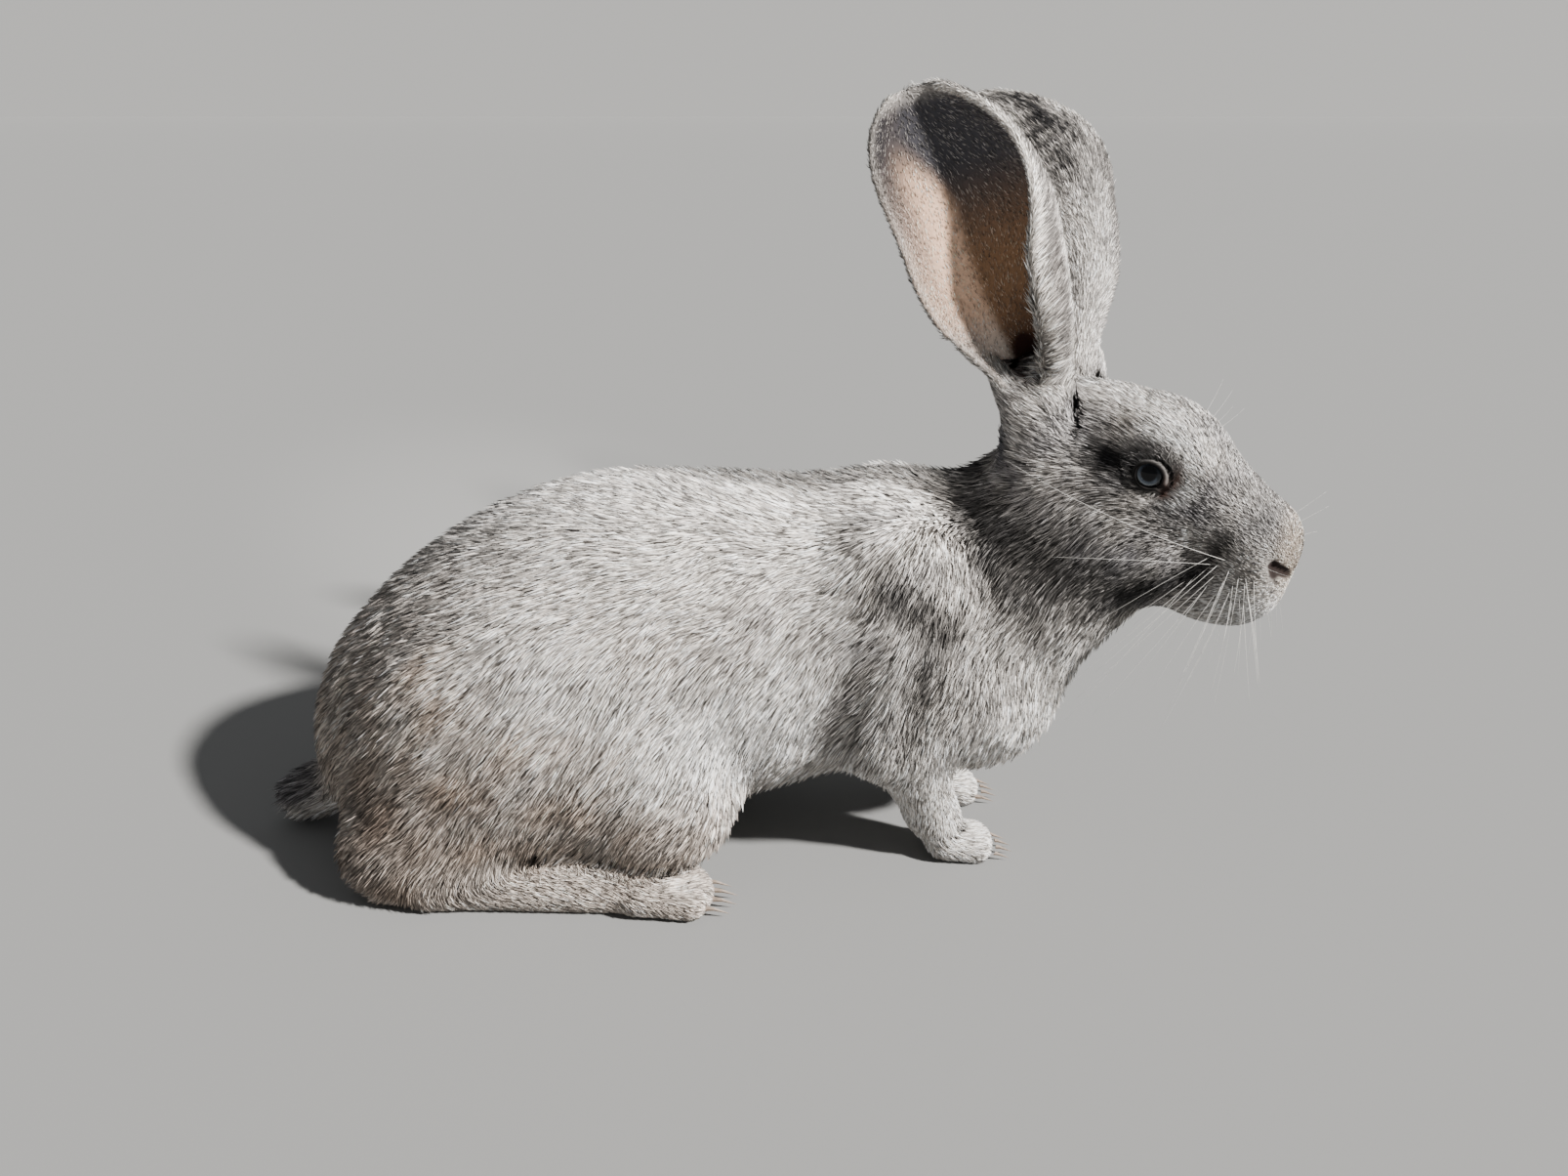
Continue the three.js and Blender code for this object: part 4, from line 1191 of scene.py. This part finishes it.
def eye_finish(side, forward):
    finish = new_finish(f"eye_finish_{side}")

    def worked(operation, *values, kind="Math"):
        sockets = dict(enumerate(values))
        return add_node(finish, kind, sockets, operation=operation).outputs[0]

    def fading(value, half_span, at_low, at_high):
        low, high = half_span
        sockets = {"Value": value, "From Min": low, "From Max": high, "To Min": at_low, "To Max": at_high}
        return add_node(finish, "MapRange", sockets).outputs["Result"]

    place = add_node(finish, "TexCoord", {})
    axes = add_node(finish, "SeparateXYZ", {"Vector": place.outputs["Object"]}).outputs
    round_it = add_node(finish, "CombineXYZ", {"X": axes["X"], "Y": axes["Y"]})
    spoke = worked("NORMALIZE", round_it.outputs["Vector"], kind="VectorMath")
    rays = add_node(finish, "TexNoise", {"Vector": spoke, "Scale": 9.0, "Detail": 3.0})
    off_middle = worked("ARCCOSINE", worked("MULTIPLY", axes["Z"], 1 / BALL_RADIUS))
    rayed = worked("MULTIPLY_ADD", rays.outputs["Fac"], 0.10, off_middle)
    rings = iris_rings(finish, worked("MULTIPLY", rayed, 2 / math.pi))
    # A painted shadow of the upper lid darkens the iris toward its top, and painted light brightens it
    # toward the back of the head.
    lid_shadow = fading(axes["Y"], (-0.4 * BALL_RADIUS, 0.5 * BALL_RADIUS), 1.3, 0.3)
    half = 0.5 * forward * BALL_RADIUS
    rear_light = fading(axes["X"], (-half, half), 4.0, 0.5)
    painted_light = worked("MULTIPLY", lid_shadow, rear_light)
    shade = add_node(finish, "VectorMath", {0: rings, "Scale": painted_light}, operation="SCALE")
    shader_sockets = {
        "Base Color": shade.outputs["Vector"],
        "Roughness": 0.06,
        "IOR": 1.38,
        "Specular IOR Level": 0.35,
        "Coat Weight": 0.02,
        "Coat Roughness": 0.02,
    }
    fill_shader(finish, shader_sockets)
    return finish


for side, sign in SIDES:
    ball = bmesh.new()
    bmesh.ops.create_uvsphere(ball, u_segments=64, v_segments=40, radius=BALL_RADIUS)
    mesh = bpy.data.meshes.new(f"eyeball_{side}")
    ball.to_mesh(mesh)
    ball.free()
    mesh.shade_smooth()
    mesh.materials.append(eye_finish(side, -sign))
    eyeball = linked(f"eyeball_{side}", mesh)
    gaze = type(camera.location)(HEAD_TURN @ unit(GAZE * np.array([1, sign, 1])))
    eyeball.location = (from_head(EYE_AT * [1, sign, 1]) - FORMS_MIDDLE) * MM
    eyeball.rotation_euler = gaze.to_track_quat("Z", "Y").to_euler()
    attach(eyeball, "root")
    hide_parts(f"eye_{side}")


# ---- Whiskers and brow hairs ------------------------------------------------------------------
# Stiff white hairs that taper to a point. They grow from rows on the pads beside the nose and
# sweep down, back and forward of the lips, and a few shorter ones stand over each eye.

WHISKER_RADIUS = 0.10
WHISKER_STEPS = 12
WHISKER_SIDES = 4
WHISKER_ROWS = 4
WHISKERS_IN_ROW = 6
BROW_HAIRS = 4


def hair_rods(name, rods):
    """Tapered rods: each is a start, a direction, a bend and a length, in the forms' frame."""
    points, faces = [], []
    turns = 2 * math.pi * np.arange(WHISKER_SIDES)[:, None] / WHISKER_SIDES
    corners_round = np.arange(WHISKER_SIDES)
    for start, ahead, bend, long in rods:
        first = len(points) * WHISKER_SIDES
        ahead, bend = unit(np.asarray(ahead, float)), np.asarray(bend)
        for i in range(WHISKER_STEPS + 1):
            t = i / WHISKER_STEPS
            middle = start + ahead * long * t + bend * long * t * t
            course = unit(ahead + 2 * t * bend)
            aside = unit(np.cross(course, [0.3, 0.2, 1.0]))
            radius = WHISKER_RADIUS * (1 - 0.8 * t)
            round_it = aside * np.cos(turns) + np.cross(course, aside) * np.sin(turns)
            points.append(middle + radius * round_it)
        for i in range(WHISKER_STEPS):
            low = first + i * WHISKER_SIDES + corners_round
            after = np.roll(low, -1)
            faces.extend(np.stack([low, after, after + WHISKER_SIDES, low + WHISKER_SIDES], 1).tolist())
        faces.append((first + corners_round[::-1]).tolist())
        faces.append((first + WHISKER_STEPS * WHISKER_SIDES + corners_round).tolist())
    mesh = bpy.data.meshes.new(name)
    mesh.from_pydata((np.concatenate(points) - FORMS_MIDDLE) * MM, [], faces)
    mesh.shade_smooth()
    return linked(name, mesh)


# The whiskers apart from the rows: two long ones swept back, and three short ones up and forward.
# Each has its place along and up the head, its direction, its bend and its length.
LONE_WHISKERS = [
    (44, -19, [-1.0, 0.46, -0.02], [0.0, -0.08, 0.10], 104),
    (40, -24, [-0.9, 0.50, -0.25], [0.0, -0.08, -0.05], 70),
    (60, -9, [0.55, 0.60, 0.55], [0.0, 0.0, 0.12], 23),
    (57, -6, [0.50, 0.60, 0.75], [0.0, 0.0, 0.10], 24),
    (62, -13, [0.60, 0.62, 0.25], [0.0, 0.0, 0.08], 19),
]


def hair_root(x, y, z):
    """The place just inside the head's outline that lies nearest to a point near it."""
    start = from_head(np.array([[x, y, z]]))
    return drawn_to(lambda q: head_form(to_head(q)), start, -1.0, turns=6, most=6.0)[0]


def whisker_rods(sign):
    rods = []
    for row in range(WHISKER_ROWS):
        for n in range(WHISKERS_IN_ROW):
            x = 60 - 4.6 * n + shuffle.normal() * 0.7
            z = -22 - 4.5 * row + shuffle.normal() * 0.7
            start = hair_root(x, sign * 30.0, z)
            back = n / (WHISKERS_IN_ROW - 1)
            ahead = np.array([0.8 - 1.3 * back, sign * 0.45, -0.75 - 0.12 * row])
            ahead += shuffle.normal(size=3) * [0.16, 0.08, 0.12]
            bend = np.array([0.05 - 0.12 * back, -sign * 0.12, -0.22]) + shuffle.normal(size=3) * 0.04
            long = (32 + 34 * back) * (0.8 + 0.4 * shuffle.random())
            rods.append((start, HEAD_TURN @ ahead, HEAD_TURN @ bend, long))
    for x, z, ahead, bend, long in LONE_WHISKERS:
        start = hair_root(x, sign * 30.0, z)
        outward = np.array([1, sign, 1])
        rods.append((start, HEAD_TURN @ (ahead * outward), HEAD_TURN @ (bend * outward), long))
    for n in range(BROW_HAIRS):
        start = hair_root(4.0 + 2.5 * n, sign * 34.0, 12.0 + shuffle.normal())
        ahead = HEAD_TURN @ np.array([0.1 + 0.2 * n, sign * 0.8, 0.9])
        rods.append((start, ahead, HEAD_TURN @ np.array([-0.1, 0, 0.1]), 16 + 9 * shuffle.random()))
    return rods


def two_tones(finish, value, dark, pale):
    """A colour that runs from a dark tone to a pale one."""
    tint = add_node(finish, "ValToRGB", {"Fac": value})
    for element, colour in zip(tint.color_ramp.elements, (dark, pale)):
        element.color = (*colour, 1)
    return tint.outputs["Color"]


whisker_finish = new_finish("whisker_finish")
whisker_grain = add_node(whisker_finish, "TexNoise", {"Scale": 300.0}).outputs["Fac"]
whisker_tint = two_tones(whisker_finish, whisker_grain, tone(196, 192, 186), tone(238, 236, 232))
fill_shader(whisker_finish, {"Base Color": whisker_tint, "Roughness": 0.35})
for side, sign in SIDES:
    whiskers = hair_rods(f"whiskers_{side}", whisker_rods(sign))
    whiskers.data.materials.append(whisker_finish)
    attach(whiskers, "root")


# ---- Claws ------------------------------------------------------------------------------------
# Small curved claws of brown horn, mottled by a fine grain from dark and smooth to pale and rough,
# one on each toe. The solids show as they are.

horn = new_finish("horn")
horn_place = add_node(horn, "TexCoord", {}).outputs["Object"]
horn_grain = add_node(horn, "TexNoise", {"Vector": horn_place, "Scale": 700.0, "Detail": 5.0}).outputs["Fac"]
horn_rough = add_node(horn, "MapRange", {"Value": horn_grain, "To Min": 0.3, "To Max": 0.6})
horn_tint = two_tones(horn, horn_grain, tone(74, 62, 54), tone(150, 132, 116))
fill_shader(horn, {"Base Color": horn_tint, "Roughness": horn_rough.outputs["Result"]})
for name, node in sorted(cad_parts.items()):
    if "claw" in name:
        node.data.materials[0] = horn
